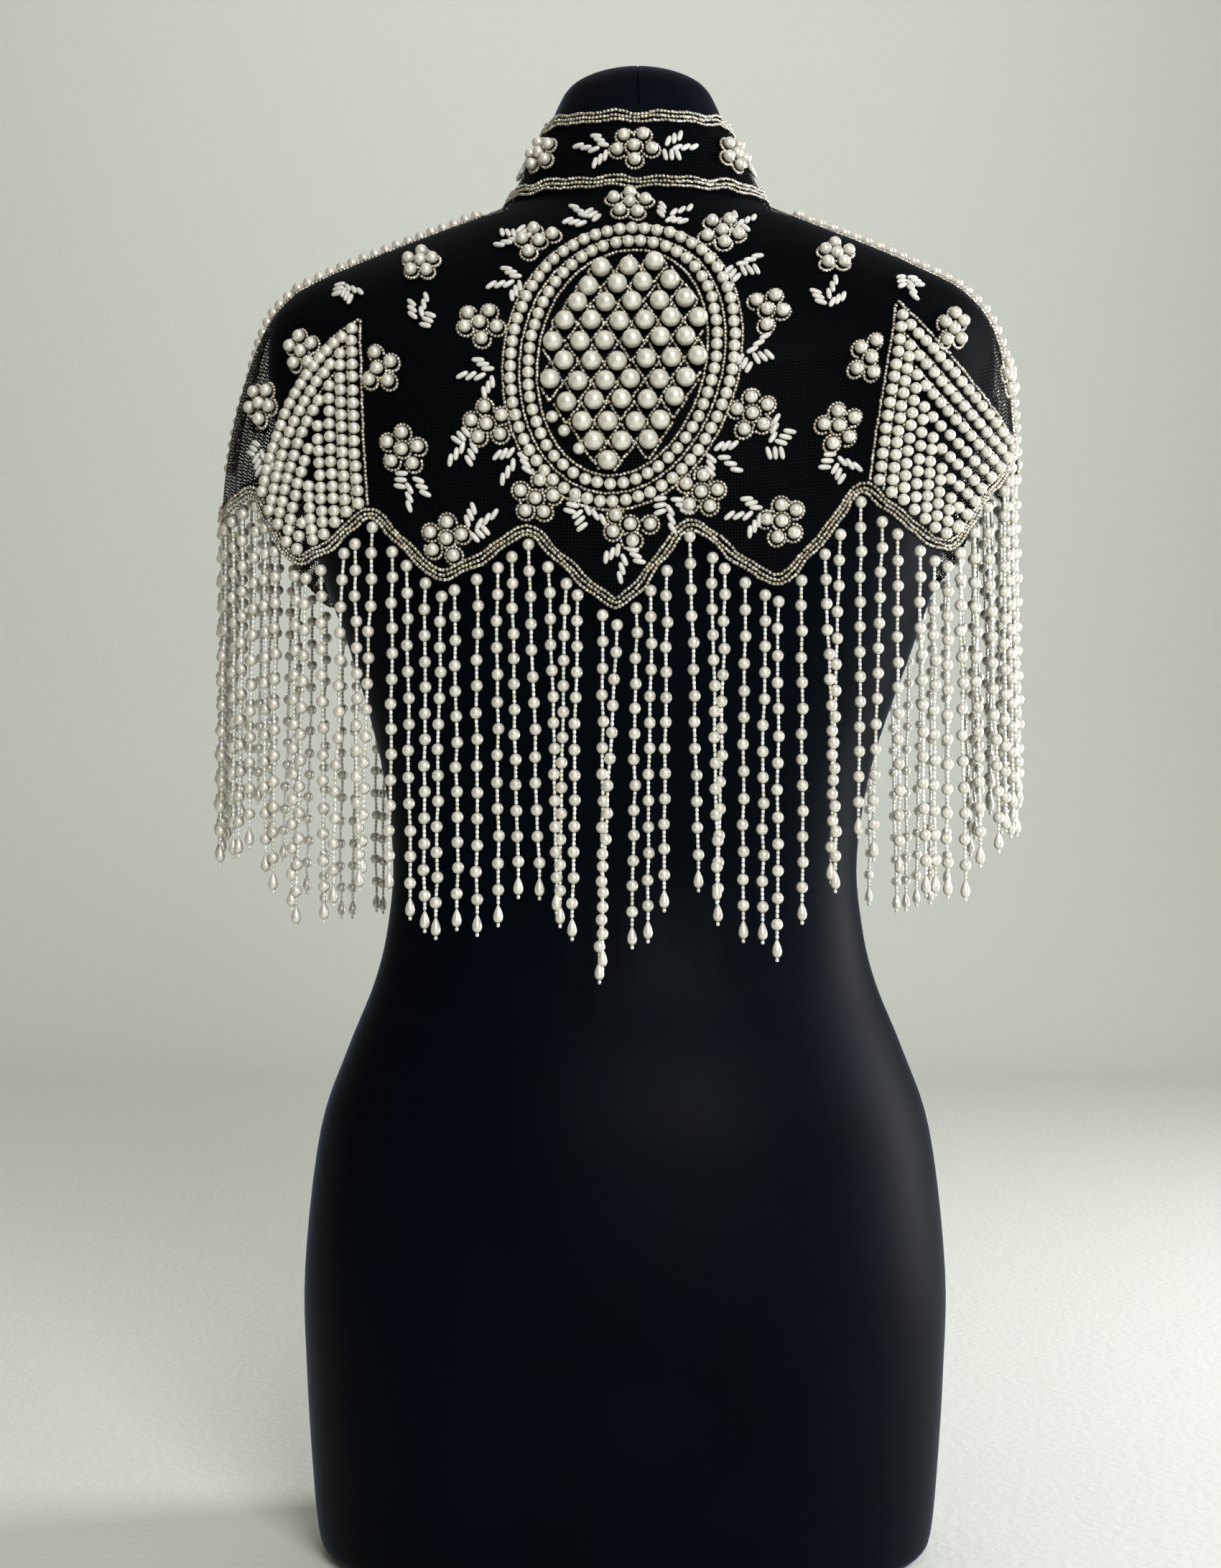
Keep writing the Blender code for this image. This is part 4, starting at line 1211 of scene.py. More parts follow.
def flower(beads, cloth, motif, supplies, chance, mirrored=1):
    """A pearl in the middle and four or five round it, each ringed with seed beads."""
    middle = flat(mirrored * motif.across, motif.ring)
    spots = [cloth.moved(middle, chance.uniform(0, 360), chance.uniform(0, FLOWER_SHAKE))]
    for i in range(motif.petals):
        turn = motif.turn + PETAL_STEP * i + chance.uniform(-PETAL_TURN, PETAL_TURN)
        if mirrored < 0:
            turn = 180 - turn
        reach = PETAL_RADIUS + chance.uniform(-PETAL_SHAKE, PETAL_SHAKE)
        spots.append(cloth.moved(middle, turn, reach))
    spots = np.array(spots)
    pearl = supplies.flower_pearl
    centres, normals = cloth.lay(spots, NET_OUT + pearl / 2)
    beads.add(PEARL_KIND, supplies.nacre, centres, np.cross(normals, (0, 0, 1)), pearl)
    width = supplies.seed_width
    ring = pearl / 2 + width * RING_OUT
    count = round(2 * math.pi * ring / (supplies.seed_length * RING_PITCH))
    placed = []
    along = []
    out = NET_OUT + width / 2
    for spot, centre in zip(spots, centres):
        start = chance.uniform(0, 360)
        places = [cloth.moved(spot, start + 360 * i / count, ring) for i in range(count)]
        points, outward = cloth.lay(np.array(places), out)
        base = cloth.lay(spot, out)[0][0]
        others = centres[np.linalg.norm(centres - centre, axis=1) > 1]
        for point, normal in zip(points, outward):
            if np.linalg.norm(others - point, axis=1).min() <= pearl / 2 + width * RING_CLEAR:
                continue
            if placed and np.linalg.norm(np.array(placed) - point, axis=1).min() < RING_APART:
                continue
            placed.append(point)
            along.append(np.cross(normal, point - base))
    length = supplies.seed_length * RING_LENGTH
    beads.add(SEED_KIND, supplies.silver, placed, along, width, length)


def spray(beads, cloth, motif, form, supplies, chance, mirrored=1):
    """Three leaflets of three rice beads each, spreading from one stitch."""
    out = NET_OUT + supplies.rice_width / 2
    heading = 180 - motif.turn if mirrored < 0 else motif.turn
    middle = flat(mirrored * motif.across, motif.ring)
    root = cloth.moved(middle, heading + 180, ROOT_REACH)
    spots = []
    tips = []
    for leaflet in form:
        wobble = chance.uniform(-LEAFLET_TURN, LEAFLET_TURN)
        turn, lean, stack = (
            heading + mirrored * (part + wobble)
            for part in (leaflet.turn, leaflet.lean, leaflet.stack)
        )
        distance = leaflet.distance + chance.uniform(-LEAFLET_SHAKE, LEAFLET_SHAKE)
        centre = cloth.moved(root, turn, distance)
        for i in (-1, 0, 1):
            spot = cloth.moved(centre, stack, leaflet.step * i)
            spots.append(spot)
            tips.append(cloth.moved(spot, lean + chance.uniform(-RICE_TURN, RICE_TURN), 1))
    centres = cloth.lay(spots, out)[0]
    along = cloth.lay(tips, out)[0] - centres
    width = supplies.rice_width
    beads.add(RICE_KIND, supplies.white, centres, along, width, supplies.rice_length)


def sheet_mesh(name, cloth, loop, finish):
    """A thin shell over the flat outline, with the flat pattern as its UV map."""
    loop = finer(np.vstack([loop, loop[:1]]), NET_EDGE_STEP)[:-1]
    low = loop.min(0)
    high = loop.max(0)
    xs = np.arange(low[0] + NET_STEP / 2, high[0], NET_STEP)
    ys = np.arange(low[1] + NET_STEP / 2, high[1], NET_STEP)
    grid = np.stack(np.meshgrid(xs, ys), axis=-1).reshape(-1, 2)
    grid = grid[edge_distances(grid, loop) > NET_STEP * NET_CLEAR]
    spots = np.vstack([loop, grid])
    edges = [(i, (i + 1) % len(loop)) for i in range(len(loop))]
    result = delaunay_2d_cdt([tuple(spot) for spot in spots], edges, [], 0, MERGE, True)
    faces = [[min(result[3][i]) for i in face] for face in result[2]]
    middles = np.array([spots[face].mean(0) for face in faces])
    keep = edge_distances(middles, loop) > SLIVER
    faces = [face for face, kept in zip(faces, keep) if kept]
    points, _ = cloth.lay(spots, NET_OUT)
    mesh = bpy.data.meshes.new(name)
    mesh.from_pydata((points * MM).tolist(), [], faces)
    layer = mesh.uv_layers.new(name="flat")
    corners = np.zeros(len(mesh.loops), np.int32)
    mesh.loops.foreach_get("vertex_index", corners)
    layer.data.foreach_set("uv", (spots[corners] * MM).astype(np.float32).ravel())
    mesh.materials.append(finish)
    mesh.shade_smooth()
    return bpy.data.objects.new(name, mesh)


def side_line(cloth, side, top, low):
    """Flat points down a side seam."""
    rings = np.linspace(top, low, SIDE_POINTS)
    return np.array([flat(cloth.seam_at(side, ring), ring) for ring in rings])


def back_outline():
    hem = sewn(back_hem())
    low = -hem[0][1] / RING_DROP
    left = side_line(BACK, -1, NECK_EDGE, low)
    right = side_line(BACK, 1, NECK_EDGE, low)
    return np.vstack([left[:-1], hem, right[::-1][1:]])


def front_outline(side):
    hem = sewn(front_hem(side))
    low = -hem[-1][1] / RING_DROP
    centre = [flat(side * FRONT_OPENING / 2, NECK_EDGE)]
    seam = side_line(FRONT, side, NECK_EDGE, low)
    return np.vstack([centre, hem, seam[::-1][1:]])


def collar_outline():
    rings = range(COLLAR_LAST + 1)
    halves = [abs(STAND.across_at(math.pi, ring)) - FRONT_OPENING / 2 for ring in rings]
    top, middle, base = halves
    upper = [flat(x, 0) for x in np.linspace(-top, top, COLLAR_POINTS)]
    lower = [flat(x, COLLAR_LAST) for x in np.linspace(base, -base, COLLAR_POINTS)]
    return np.vstack([upper, [flat(middle, 1)], lower, [flat(-middle, 1)]])


def form_rings(turns):
    """Level rings of the jersey, from the neck cap down to the base."""

    def from_table(table):
        sections = [np.tile(section, (len(turns), 1)) for section in map(np.array, table)]
        return [ring_points(rows, turns) for rows in sections]

    rings = from_table(FORM_CAP)
    for cloth, count in ((STAND, COLLAR_RINGS_ON_FORM), (BACK, CAPE_RINGS_ON_FORM)):
        for ring in range(count):
            points, normals = surface(cloth.rows, np.full(len(turns), float(ring)), turns)
            rings.append(points + normals * JERSEY_OUT)
    return np.array(rings + from_table(FORM_BODY))


def form_lines(rings):
    """The rings with more of them between, on smooth curves that start at the form's top."""
    apex = np.broadcast_to((NECK_SHIFT, 0, FORM_TOP), rings[:1].shape)
    knots = np.concatenate([2 * apex - rings[:1], apex, rings, 2 * rings[-1:] - rings[-2:-1]])
    lines = []
    for i in range(1, len(knots) - 2):
        for share in np.arange(LINES_PER_RING) / LINES_PER_RING:
            lines.append(curve(*knots[i - 1 : i + 3], share))
    lines.append(rings[-1])
    lines = np.array(lines[1:])
    lines[..., 2] = np.clip(lines[..., 2], 0, FORM_TOP)
    return lines


def with_cap_seam(lines, turns):
    """The form's lines, drawn in where the jersey's seam runs up the back of the cap."""
    from_back = np.degrees((turns + math.pi) % (2 * math.pi) - math.pi)
    groove = np.exp(-((from_back / SEAM_WIDTH) ** 2))
    on_cap = np.clip((lines[:, :1, 2] - SEAM_LOW) / SEAM_FADE, 0, 1)
    pull = SEAM_DEPTH * groove[None] * on_cap
    middle = (NECK_SHIFT, 0, CAP_FLATNESS * CAP_MIDDLE)
    inward = unit(lines * (1, 1, CAP_FLATNESS) - middle)
    return lines - inward * pull[..., None]


class CAPELET_OT_dress_form(bpy.types.Operator):
    """Make the dress form, covered in black jersey with a seam up its neck cap."""

    bl_idname = "capelet.dress_form"
    bl_label = "Dress form"

    def execute(self, context):
        supplies = Supplies(context)
        turns = np.radians(np.concatenate([SEAM_TURNS, FORM_TURNS]))
        lines = with_cap_seam(form_lines(form_rings(turns)), turns)
        count = len(turns)
        faces = []
        for i in range(len(lines) - 1):
            for j in range(count):
                k = (j + 1) % count
                start = i * count
                faces.append((start + j, start + count + j, start + count + k, start + k))
        points = np.vstack([lines.reshape(-1, 3), [(NECK_SHIFT, 0, APEX)], [(0, 0, 0)]])
        apex_at = len(points) - 2
        base_at = len(points) - 1
        last = (len(lines) - 1) * count
        for j in range(count):
            k = (j + 1) % count
            faces.append((apex_at, j, k))
            faces.append((base_at, last + k, last + j))
        mesh = bpy.data.meshes.new("form_jersey")
        mesh.from_pydata((points * MM).tolist(), [], faces)
        mesh.materials.append(supplies.jersey)
        mesh.shade_smooth()
        mesh.set_sharp_from_angle(angle=FORM_SHARP)
        place(bpy.data.objects.new("form_jersey", mesh), "cotton_jersey", "dress_form")
        return {"FINISHED"}


class CAPELET_OT_net(bpy.types.Operator):
    """Make the net of the back, the two fronts and the collar."""

    bl_idname = "capelet.net"
    bl_label = "Net"

    def execute(self, context):
        net = Supplies(context).net
        panels = (
            ("back_net", BACK, back_outline(), "back_panel"),
            ("left_front_net", FRONT, front_outline(-1), "left_front_panel"),
            ("right_front_net", FRONT, front_outline(1), "right_front_panel"),
            ("collar_net", STAND, collar_outline(), "collar"),
        )
        for name, cloth, loop, node in panels:
            place(sheet_mesh(name, cloth, loop, net), "nylon_net", node)
        return {"FINISHED"}


FRONT_TRIM_RINGS = (0.5, 10.5)
COLLAR_TRIM_END = math.radians(170)


class CAPELET_OT_trims(bpy.types.Operator):
    """Make the three-row seed bead trims of the hem, front edges and collar."""

    bl_idname = "capelet.trims"
    bl_label = "Seed bead trims"

    def execute(self, context):
        supplies = Supplies(context)
        edges = [("back_hem_beads", BACK, sewn(back_hem()), 1, "back_hem_trim")]
        for name, side in (("left", -1), ("right", 1)):
            hem = sewn(front_hem(side))
            edges.append((f"{name}_hem_beads", FRONT, hem, side, f"{name}_hem_trim"))
            front = np.array([flat(side * FRONT_OPENING / 2, r) for r in FRONT_TRIM_RINGS])
            edges.append((f"{name}_front_beads", FRONT, front, side, f"{name}_front_trim"))
        for name, ring, inward in (("top", 0, -1), ("base", COLLAR_LAST, 1)):
            half = abs(STAND.across_at(COLLAR_TRIM_END, ring))
            edge = waved(finer(np.array([flat(-half, ring), flat(half, ring)])), COLLAR_WAVE, ring)
            edges.append((f"collar_{name}_beads", STAND, edge, inward, f"collar_{name}_trim"))
        for i, (name, cloth, edge, inward, node) in enumerate(edges):
            beads = Beadwork(name)
            trim_rows(beads, cloth, edge, inward, supplies, 10 * i)
            beads.build("seed_bead", node)
        return {"FINISHED"}


# How far each row lies in front of the ridge, at its top and, below the rings where it
# drifts, at its end.
Row = namedtuple("Row", "name side top_shift low_shift")
SHOULDER_ROWS = (Row("left", -1, -11, 11), Row("right", 1, -12, -9))
DRIFT_RING = 5.6
DRIFT_RINGS = 2.0
SHOULDER_TOP = 0.6
SHOULDER_END = 9.9
SHOULDER_PITCH = 6.4
SHOULDER_GAP = 0.45


class CAPELET_OT_shoulder_rows(bpy.types.Operator):
    """Make the pearl rows over the shoulder seams."""

    bl_idname = "capelet.shoulder_rows"
    bl_label = "Shoulder rows"

    def execute(self, context):
        supplies = Supplies(context)
        rings = np.linspace(SHOULDER_TOP, SHOULDER_END, SHOULDER_POINTS)
        ridge = [abs(BACK.across_at(math.pi / 2, ring)) for ring in rings]
        drift = np.clip((rings - DRIFT_RING) / DRIFT_RINGS, 0, 1)
        gap = supplies.pearl / 2 + supplies.seed_width * SHOULDER_GAP
        for name, side, top_shift, low_shift in SHOULDER_ROWS:
            shifted = ridge + (top_shift + (low_shift - top_shift) * drift)
            line = np.array([flat(side * a, ring) for a, ring in zip(shifted, rings)])
            beads = Beadwork(f"{name}_shoulder_beads")
            pearl_row(beads, BACK, line, SHOULDER_PITCH, supplies)
            for i, shift in enumerate((-gap, gap)):
                row = line + (shift, 0)
                seed_row(beads, BACK, row, supplies, SHOULDER_SHAKE, SHOULDER_CHANCE + i)
            beads.build("imitation_pearl", f"{name}_shoulder_row")
        return {"FINISHED"}


def tilted(points, tilt):
    """Flat points turned clockwise about the origin."""
    x, y = np.asarray(points).T
    turned_x = x * math.cos(tilt) + y * math.sin(tilt)
    turned_y = y * math.cos(tilt) - x * math.sin(tilt)
    return np.stack([turned_x, turned_y], axis=-1)


def oval(inset):
    """A closed flat line that lies inset inside the medallion's edge."""
    turns = np.linspace(0, 2 * math.pi, OVAL_POINTS)
    x = (MEDALLION_HALF_WIDTH - inset) * np.cos(turns)
    y = (MEDALLION_HALF_HEIGHT - inset) * np.sin(turns)
    return flat(*MEDALLION_MIDDLE) + tilted(np.stack([x, y], axis=1), MEDALLION_TILT)


def field_spots():
    """Flat places of the large pearls in the medallion's middle."""
    found = []
    for i, row in enumerate(FIELD_ROWS):
        places = (np.arange(row.count) - (row.count - 1) / 2) * FIELD_PITCH
        rise = places * math.tan(math.radians(row.rise))
        found.append(np.stack([row.shift + places, FIELD_TOP - i * FIELD_ROW + rise], axis=1))
    return flat(*MEDALLION_MIDDLE) + np.vstack(found)


class CAPELET_OT_medallion(bpy.types.Operator):
    """Make the oval medallion: pearl rings, seed lines and a field of large pearls."""

    bl_idname = "capelet.medallion"
    bl_label = "Medallion"

    def execute(self, context):
        supplies = Supplies(context)
        beads = Beadwork("medallion_beads")
        for inset in MEDALLION_RINGS:
            pearl_row(beads, BACK, oval(inset), MEDALLION_RING_PITCH, supplies)
        for i, inset in enumerate(MEDALLION_LINES):
            seed_row(beads, BACK, oval(inset), supplies, TRIM_SHAKE, MEDALLION_CHANCE + i)
        spots = field_spots()
        chance = np.random.default_rng(FIELD_CHANCE)
        spots += chance.uniform(-FIELD_SHAKE, FIELD_SHAKE, spots.shape)
        small_spots = flat(*MEDALLION_MIDDLE) + FIELD_SMALL_PEARLS
        fields = (
            (LARGE_PEARL_KIND, spots, supplies.field_pearl),
            (PEARL_KIND, small_spots, supplies.pearl),
        )
        for kind, places, width in fields:
            centres, normals = BACK.lay(places, NET_OUT + width / 2)
            beads.add(kind, supplies.nacre, centres, np.cross(normals, FIELD_UPRIGHT), width)
        inner = oval(MEDALLION_LINES[-1] + STITCH_INSET)
        corners = np.array(((0.5, 0), (0, 1), (-0.5, 0), (0, -1))) * (FIELD_PITCH, FIELD_ROW)
        middles = []
        for i, spot in enumerate(spots):
            for start, end in zip(corners, np.roll(corners, -1, axis=0)):
                middle = spot + (start + end) / 2
                if any(np.linalg.norm(middle - other) < STITCH_APART for other in middles):
                    continue
                middles.append(middle)
                line = finer(np.array((spot + start, spot + end)), ROW_STEP)
                line = line[edge_distances(line, inner) > 0]
                if len(line) > STITCH_POINTS:
                    seed_row(beads, BACK, line, supplies, STITCH_SHAKE, STITCH_CHANCE + i)
        beads.build("imitation_pearl", "back_medallion")
        return {"FINISHED"}


def bulged(start, end, bulge):
    """Flat points from start to end on a shallow curve."""
    along = end - start
    side = unit(np.array((along[1], -along[0]))) * bulge
    shares = np.linspace(0, 1, EDGE_PARTS + 1)[:, None]
    return start + along * shares + side * 4 * shares * (1 - shares)


def wing_arms(wing):
    """The wing's inner and outer edges as flat lines from its top."""
    top, inner, outer = [flat(*corner) for corner in (wing.top, wing.inner, wing.outer)]
    side = math.copysign(1, top[0])
    return bulged(top, inner, EDGE_BOW * side), bulged(outer, top, wing.bulge * side)[::-1]


def offset_line(line, distance, middle):
    """A flat line moved sideways towards a middle point."""
    side = sideways(line)
    towards = ((middle - line) * side).sum(1, keepdims=True)
    return line + side * np.sign(towards) * distance


def lengthened(line):
    """A line of flat points that goes straight on past its last one."""
    along = unit(line[-1] - line[-2])
    return np.vstack([line, line[-1] + along * ARM_REACH])


def inside_run(line, panel, reach):
    """The first part of a flat line that keeps its distance from an outline."""
    kept = edge_distances(line, panel) > reach
    return line if kept.all() else line[: np.argmin(kept)]


def wing_pearls(inner_arm, outer_arm, panel, spread):
    """Nested rows of pearls that start at tips on the wing's spine and end at the trim."""
    middle = np.vstack([inner_arm, outer_arm]).mean(0)
    pearls = []
    arms = ((inner_arm, 1, outer_arm, spread), (outer_arm, spread, inner_arm, 1))
    for distance in np.arange(FIRST_ROW * WING_ROW, WING_DEPTH, WING_ROW):
        placed = None
        for arm, share, other, other_share in arms:
            row = finer(offset_line(finer(arm), distance * share, middle), ARM_STEP)
            row = row[line_distances(row, other) > distance * other_share - TIP_RISE]
            row = inside_run(row, panel, TRIM_REACH)
            if placed is not None and len(row):
                away = np.linalg.norm(row[:, None] - placed[None], axis=2).min(1)
                row = row[np.argmax(away > PEARL_APART) :]
            if len(row) < 2:
                continue
            length = line_lengths(row)[-1]
            count = max(1, round(length / (WING_PITCH * share)))
            placed = along_line(row, np.arange(count + 1) * length / count)
            pearls.append(placed)
    return np.vstack(pearls)


class CAPELET_OT_wings(bpy.types.Operator):
    """Make the four wings of nested pearl rows, outlined with seed beads."""

    bl_idname = "capelet.wings"
    bl_label = "Wings"

    def execute(self, context):
        supplies = Supplies(context)
        for i, wing in enumerate(WINGS):
            side = math.copysign(1, wing.top[0])
            cloth = FRONT if wing.from_front else BACK
            panel = front_outline(side) if wing.from_front else back_outline()
            beads = Beadwork(f"{wing.name}_beads")
            inner_arm, outer_arm = wing_arms(wing)
            # Rows are spaced by real lengths, which differ a little from the flat pattern's.
            scale = cloth.scale_at((inner_arm[-1] + outer_arm[len(outer_arm) // 2]) / 2)
            inner_arm = lengthened(inner_arm * scale)
            outer_arm = lengthened(outer_arm * scale)
            panel = panel * scale
            pearls = wing_pearls(inner_arm, outer_arm, panel, wing.spread)
            chance = np.random.default_rng(i)
            pearls += chance.uniform(-WING_SHAKE, WING_SHAKE, pearls.shape)
            centres, normals = cloth.lay(pearls / scale, NET_OUT + supplies.pearl / 2)
            along = np.cross(normals, (0, 0, 1))
            beads.add(PEARL_KIND, supplies.nacre, centres, along, supplies.pearl)
            middle = pearls.mean(0)
            arms = ((inner_arm, outer_arm), (outer_arm, inner_arm))
            for j, row in enumerate(WING_SEED_ROWS):
                for arm, other in arms:
                    distance = row * WING_ROW
                    if arm is outer_arm:
                        distance = distance * wing.spread if row else -wing.rim
                    line = finer(offset_line(finer(arm), distance, middle), ROW_STEP)
                    line = line[line_distances(line, other) > distance]
                    line = inside_run(line, panel, TRIM_EDGE) / scale
                    seed_row(beads, cloth, line, supplies, STITCH_SHAKE, WING_CHANCE + 10 * i + j)
            beads.build("imitation_pearl", wing.name)
        return {"FINISHED"}


class CAPELET_OT_flowers(bpy.types.Operator):
    """Make the pearl flowers and the leaf sprays of rice beads."""

    bl_idname = "capelet.flowers"
    bl_label = "Flowers and sprays"

    def execute(self, context):
        supplies = Supplies(context)
        groups = (
            ("back", BACK, BACK_FLOWERS, BACK_SPRAYS, (1,)),
            ("front", FRONT, FRONT_FLOWERS, FRONT_SPRAYS, (1, -1)),
            ("collar", STAND, COLLAR_FLOWERS, COLLAR_SPRAYS, (1,)),
        )
        for name, cloth, flowers, sprays, sides in groups:
            chance = random.Random(f"{name} flowers")
            beads = Beadwork(f"{name}_flowers")
            for side in sides:
                for motif in flowers:
                    flower(beads, cloth, motif, supplies, chance, side)
            beads.build("imitation_pearl")
            leaves = Beadwork(f"{name}_sprays")
            for side in sides:
                for i, motif in enumerate(sprays):
                    form = SPRAY_FORMS[i % len(SPRAY_FORMS)]
                    spray(leaves, cloth, motif, form, supplies, chance, side)
            leaves.build("imitation_pearl")
        return {"FINISHED"}


def fringe_roots(cloth, hem, chance):
    """Where the strands hang from a hem, and the outward direction at each."""
    edge, _ = cloth.lay(hem, CLOTH / 2)
    away = cloth.lay(hem, CLOTH / 2 + 1)[0] - edge
    away[:, 2] = 0
    away = unit(away)
    lengths = line_lengths(edge[:, :2])
    corners = [END_STRAND]
    rings = -hem[:, 1]
    for i in range(1, len(hem) - 1):
        if (rings[i] - rings[i - 1]) * (rings[i + 1] - rings[i]) < 0:
            corners.append(lengths[i])
    corners.append(lengths[-1] - END_STRAND)
    distances = []
    for start, end in zip(corners, corners[1:]):
        count = round((end - start) / STRAND_PITCH)
        for i in range(count):
            jitter = chance.uniform(-STRAND_JITTER, STRAND_JITTER) if i else 0
            distances.append(start + i * (end - start) / count + jitter)
    distances.append(corners[-1])
    for distance in distances:
        root = np.array([np.interp(distance, lengths, edge[:, i]) for i in range(3)])
        side = np.array([np.interp(distance, lengths, away[:, i]) for i in range(3)])
        yield root, unit(side)


FIRST_PEARL = 5.0
END_ROOM = 1.0
DROP_SLIMNESS = 0.55
LEAN = 0.022
SWAY = 0.5
SLIP = 0.3


def strand(beads, root, side, length, supplies, chance):
    """One strand: pearls with three seed beads between, a drop and an end bead."""
    rest = supplies.drop_length + 2 * supplies.seed_length + supplies.pearl / 2 + END_ROOM
    pitch = (length - FIRST_PEARL - rest) / (supplies.strand_pearls - 1)
    along = np.array((-side[1], side[0], 0))
    lean = along * chance.gauss(0, LEAN) + side * abs(chance.gauss(0, LEAN / 2))

    def at(drop):
        return root + lean * drop + (0, 0, -drop)

    centres = []
    for i in range(supplies.strand_pearls):
        wander = along * chance.uniform(-SWAY, SWAY) + side * chance.uniform(-SWAY, SWAY)
        centres.append(at(FIRST_PEARL + i * pitch + chance.uniform(-SLIP, SLIP)) + wander)
    centres = np.array(centres)
    beads.add(PEARL_KIND, supplies.nacre, centres, (0, 0, 1), supplies.pearl)
    seeds = []
    holes = []
    spans = []
    for upper, lower in zip(centres, centres[1:]):
        gap = lower - upper
        clear = np.linalg.norm(gap) - supplies.pearl
        for share in (-1, 0, 1):
            seeds.append((upper + lower) / 2 + unit(gap) * clear / 3 * share)
            holes.append(gap)
            spans.append(clear / 3)
    drop_top = centres[-1] + (0, 0, -supplies.pearl / 2)
    seeds += [drop_top + (0, 0, -supplies.seed_length * (i + 0.5)) for i in range(2)]
    drop = drop_top + (0, 0, -2 * supplies.seed_length - supplies.drop_length / 2)
    end = drop + (0, 0, -supplies.drop_length / 2 - supplies.seed_length / 2)
    seeds.append(end)
    holes += [(0, 0, -1)] * 3
    spans += [supplies.seed_length] * 3
    beads.add(SEED_KIND, supplies.rainbow, seeds, holes, supplies.seed_width, spans)
    width = supplies.drop_length * DROP_SLIMNESS
    beads.add(DROP_KIND, supplies.nacre, drop, (0, 0, 1), width, supplies.drop_length)


class CAPELET_OT_fringe(bpy.types.Operator):
    """Make the strands of pearls, seed beads and drops below the hem."""

    bl_idname = "capelet.fringe"
    bl_label = "Fringe"

    def execute(self, context):
        supplies = Supplies(context)
        hems = (
            ("back", BACK, back_hem(), 3),
            ("left", FRONT, front_hem(-1), 5),
            ("right", FRONT, front_hem(1), 7),
        )
        for name, cloth, hem, seed in hems:
            chance = random.Random(seed)
            beads = Beadwork(f"{name}_fringe_beads")
            roots = list(fringe_roots(cloth, hem, chance))
            uneven = [chance.uniform(-STRAND_UNEVEN, STRAND_UNEVEN) for _ in roots]
            for (root, side), extra in zip(roots, uneven):
                strand(beads, root, side, STRAND_LENGTH + extra, supplies, chance)
            beads.build("imitation_pearl", f"{name}_fringe")
        return {"FINISHED"}


class CAPELET_OT_button(bpy.types.Operator):
    """Make the pearl button that closes the collar in front."""

    bl_idname = "capelet.button"
    bl_label = "Collar button"

    def execute(self, context):
        supplies = Supplies(context)
        low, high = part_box("collar_button")
        middle = np.array((low + high) / 2) / MM
        width = (high - low).y / MM
        beads = Beadwork("pearl_button")
        beads.add(LARGE_PEARL_KIND, supplies.nacre, middle, (0, 0, 1), width)
        beads.build("imitation_pearl", "collar_button")
        return {"FINISHED"}


# The camera stands level with the waist and looks at the back of the garment.
VIEW_DISTANCE = 1.2
VIEW_HEIGHT = 0.402
VIEW_SIDE = -0.0076
IMAGE_HEIGHT = 2184
MM_PER_PIXEL = 0.38

# The wall stands further off than the camera in any view, so it hides nothing from it.
WALL_DISTANCE = 2.5
SWEEP_RADIUS = 0.6
STAGE_HALF_WIDTH = 3.0
STAGE_FRONT = -3.0
STAGE_TOP = 3.0
SWEEP_PARTS = 16
ROOM_COLOUR = "#E6DAC6"
ROOM_STRENGTH = 0.22

Light = namedtuple("Light", "name place aim size power colour")
LIGHTS = (
    Light("window", (0.6, -2.1, 1.3), (0, 0, 0.5), (0.8, 0.9), 44, "#FBFCFF"),
    Light("side", (1.68, 0.34, 0.6), (0, 0, 0.45), (0.5, 1.6), 54, "#F4F7FF"),
    Light("ceiling", (-0.2, -0.7, 2.5), (0, 0, 0.4), (2.4, 2.4), 12, "#FFFDF6"),
    Light("backdrop", (0, 1.2, 2.6), (0, 2.5, 0.6), (2.4, 0.5), 14, "#F8FBFF"),
)


def sweep_mesh():
    """A floor that curves up into a wall behind the object."""
    profile = [(STAGE_FRONT, 0), (WALL_DISTANCE - SWEEP_RADIUS, 0)]
    for i in range(1, SWEEP_PARTS + 1):
        turn = math.pi / 2 * i / SWEEP_PARTS
        y = WALL_DISTANCE - SWEEP_RADIUS + SWEEP_RADIUS * math.sin(turn)
        profile.append((y, SWEEP_RADIUS * (1 - math.cos(turn))))
    profile.append((WALL_DISTANCE, STAGE_TOP))
    points = []
    faces = []
    for y, z in profile:
        points += [(-STAGE_HALF_WIDTH, y, z), (STAGE_HALF_WIDTH, y, z)]
    for i in range(len(profile) - 1):
        faces.append((2 * i, 2 * i + 1, 2 * i + 3, 2 * i + 2))
    mesh = bpy.data.meshes.new("studio_sweep")
    mesh.from_pydata(points, [], faces)
    mesh.shade_smooth()
    return mesh


def aimed(obj, aim):
    """Turns a light or camera to look at a point."""
    obj.rotation_euler = (Vector(aim) - obj.location).to_track_quat("-Z", "Y").to_euler()


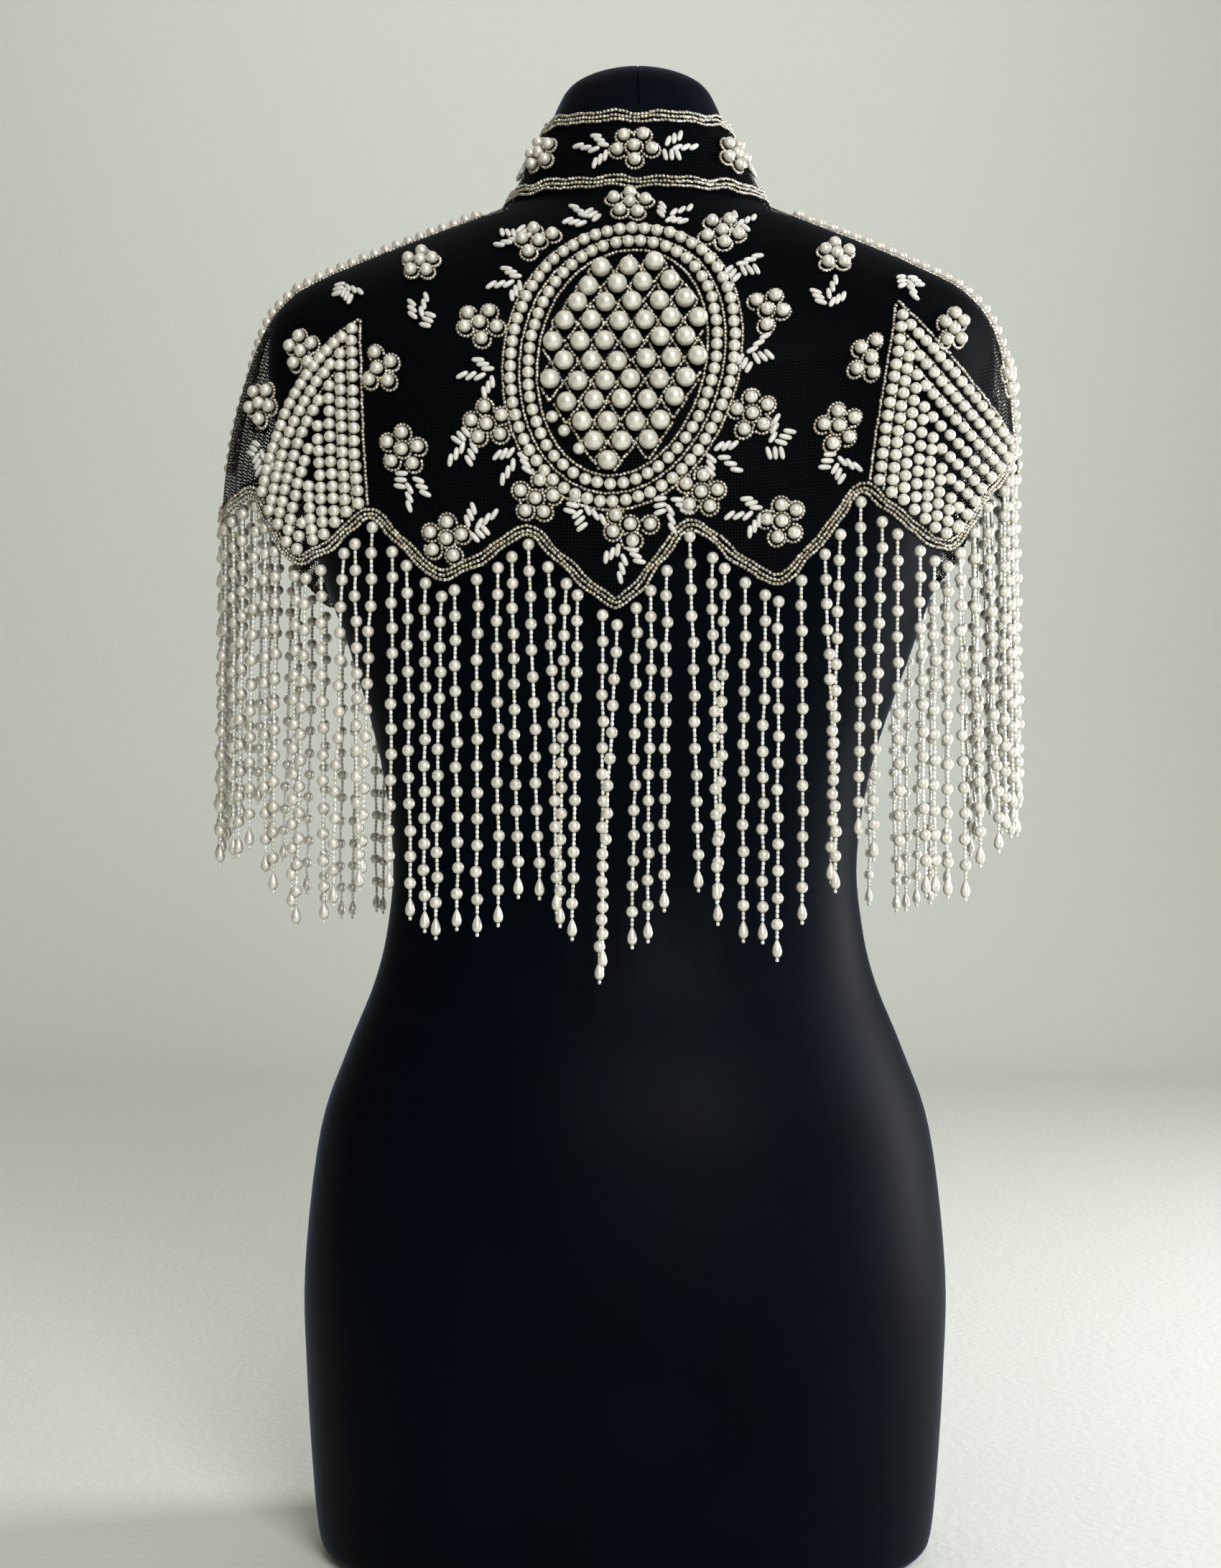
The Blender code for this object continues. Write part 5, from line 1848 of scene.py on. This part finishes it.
class CAPELET_OT_stage(bpy.types.Operator):
    """Make the pale floor and wall, the soft lights and the camera."""

    bl_idname = "capelet.stage"
    bl_label = "Stage"

    def execute(self, context):
        scene = context.scene
        sweep = bpy.data.objects.new("studio_sweep", sweep_mesh())
        sweep.data.materials.append(Supplies(context).paint)
        scene.collection.objects.link(sweep)
        sweep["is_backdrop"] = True
        for light in LIGHTS:
            data = bpy.data.lights.new(light.name, "AREA")
            data.shape = "RECTANGLE"
            data.size, data.size_y = light.size
            data.energy = light.power
            data.color = linear(light.colour)
            lamp = bpy.data.objects.new(light.name, data)
            lamp.location = light.place
            scene.collection.objects.link(lamp)
            aimed(lamp, light.aim)
        world = bpy.data.worlds.new("soft_room")
        world.use_nodes = True
        background = world.node_tree.nodes["Background"]
        background.inputs["Color"].default_value = (*linear(ROOM_COLOUR), 1)
        background.inputs["Strength"].default_value = ROOM_STRENGTH
        scene.world = world
        scene.view_settings.view_transform = "Standard"
        data = bpy.data.cameras.new("camera")
        data.lens = data.sensor_width * VIEW_DISTANCE / (IMAGE_HEIGHT * MM_PER_PIXEL * MM)
        camera = bpy.data.objects.new("camera", data)
        camera.location = (VIEW_SIDE, -VIEW_DISTANCE, VIEW_HEIGHT)
        scene.collection.objects.link(camera)
        aimed(camera, (VIEW_SIDE, 0, VIEW_HEIGHT))
        scene.camera = camera
        return {"FINISHED"}


class CAPELET_PT_panel(bpy.types.Panel):
    """Lists the capelet's settings and pieces."""

    bl_idname = "CAPELET_PT_panel"
    bl_label = "Beaded capelet"
    bl_space_type = "VIEW_3D"
    bl_region_type = "UI"
    bl_category = "Capelet"

    def draw(self, context):
        for group in (context.scene.capelet_sizes, context.scene.capelet_colours):
            column = self.layout.column()
            for name in group.__annotations__:
                column.prop(group, name)
        for operator in OPERATORS:
            self.layout.operator(operator.bl_idname)


OPERATORS = (
    CAPELET_OT_dress_form,
    CAPELET_OT_net,
    CAPELET_OT_trims,
    CAPELET_OT_shoulder_rows,
    CAPELET_OT_medallion,
    CAPELET_OT_wings,
    CAPELET_OT_flowers,
    CAPELET_OT_fringe,
    CAPELET_OT_button,
    CAPELET_OT_stage,
)


def register():
    for made in (CapeletSizes, CapeletColours, *OPERATORS, CAPELET_PT_panel):
        bpy.utils.register_class(made)
    bpy.types.Scene.capelet_sizes = PointerProperty(type=CapeletSizes)
    bpy.types.Scene.capelet_colours = PointerProperty(type=CapeletColours)


def unregister():
    del bpy.types.Scene.capelet_colours
    del bpy.types.Scene.capelet_sizes
    for made in (CAPELET_PT_panel, *reversed(OPERATORS), CapeletColours, CapeletSizes):
        bpy.utils.unregister_class(made)


# The net's cut before it was sewn: width and length in metres, and its area.
Cut = namedtuple("Cut", "net width length area beads")
CUTS = (
    Cut("back_net", 0.56, 0.26, 0.10, ("back_hem_beads", "medallion_beads", "back_flowers")),
    Cut("left_front_net", 0.30, 0.26, 0.052, ("left_hem_beads", "left_front_beads")),
    Cut("right_front_net", 0.30, 0.26, 0.052, ("right_hem_beads", "right_front_beads")),
    Cut("collar_net", 0.43, 0.05, 0.0165, ("collar_top_beads", "collar_base_beads")),
)


def main():
    register()
    bpy.ops.capelet.dress_form()
    bpy.ops.capelet.net()
    bpy.ops.capelet.trims()
    bpy.ops.capelet.shoulder_rows()
    bpy.ops.capelet.medallion()
    bpy.ops.capelet.wings()
    bpy.ops.capelet.flowers()
    bpy.ops.capelet.fringe()
    bpy.ops.capelet.button()
    bpy.ops.capelet.stage()
    for cut in CUTS:
        list(cut.beads)
    boxes = {"cad": CAD_BOX, "visual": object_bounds()}
    {name: [list(corner) for corner in box] for name, box in boxes.items()}


if __name__ == "__main__":
    main()
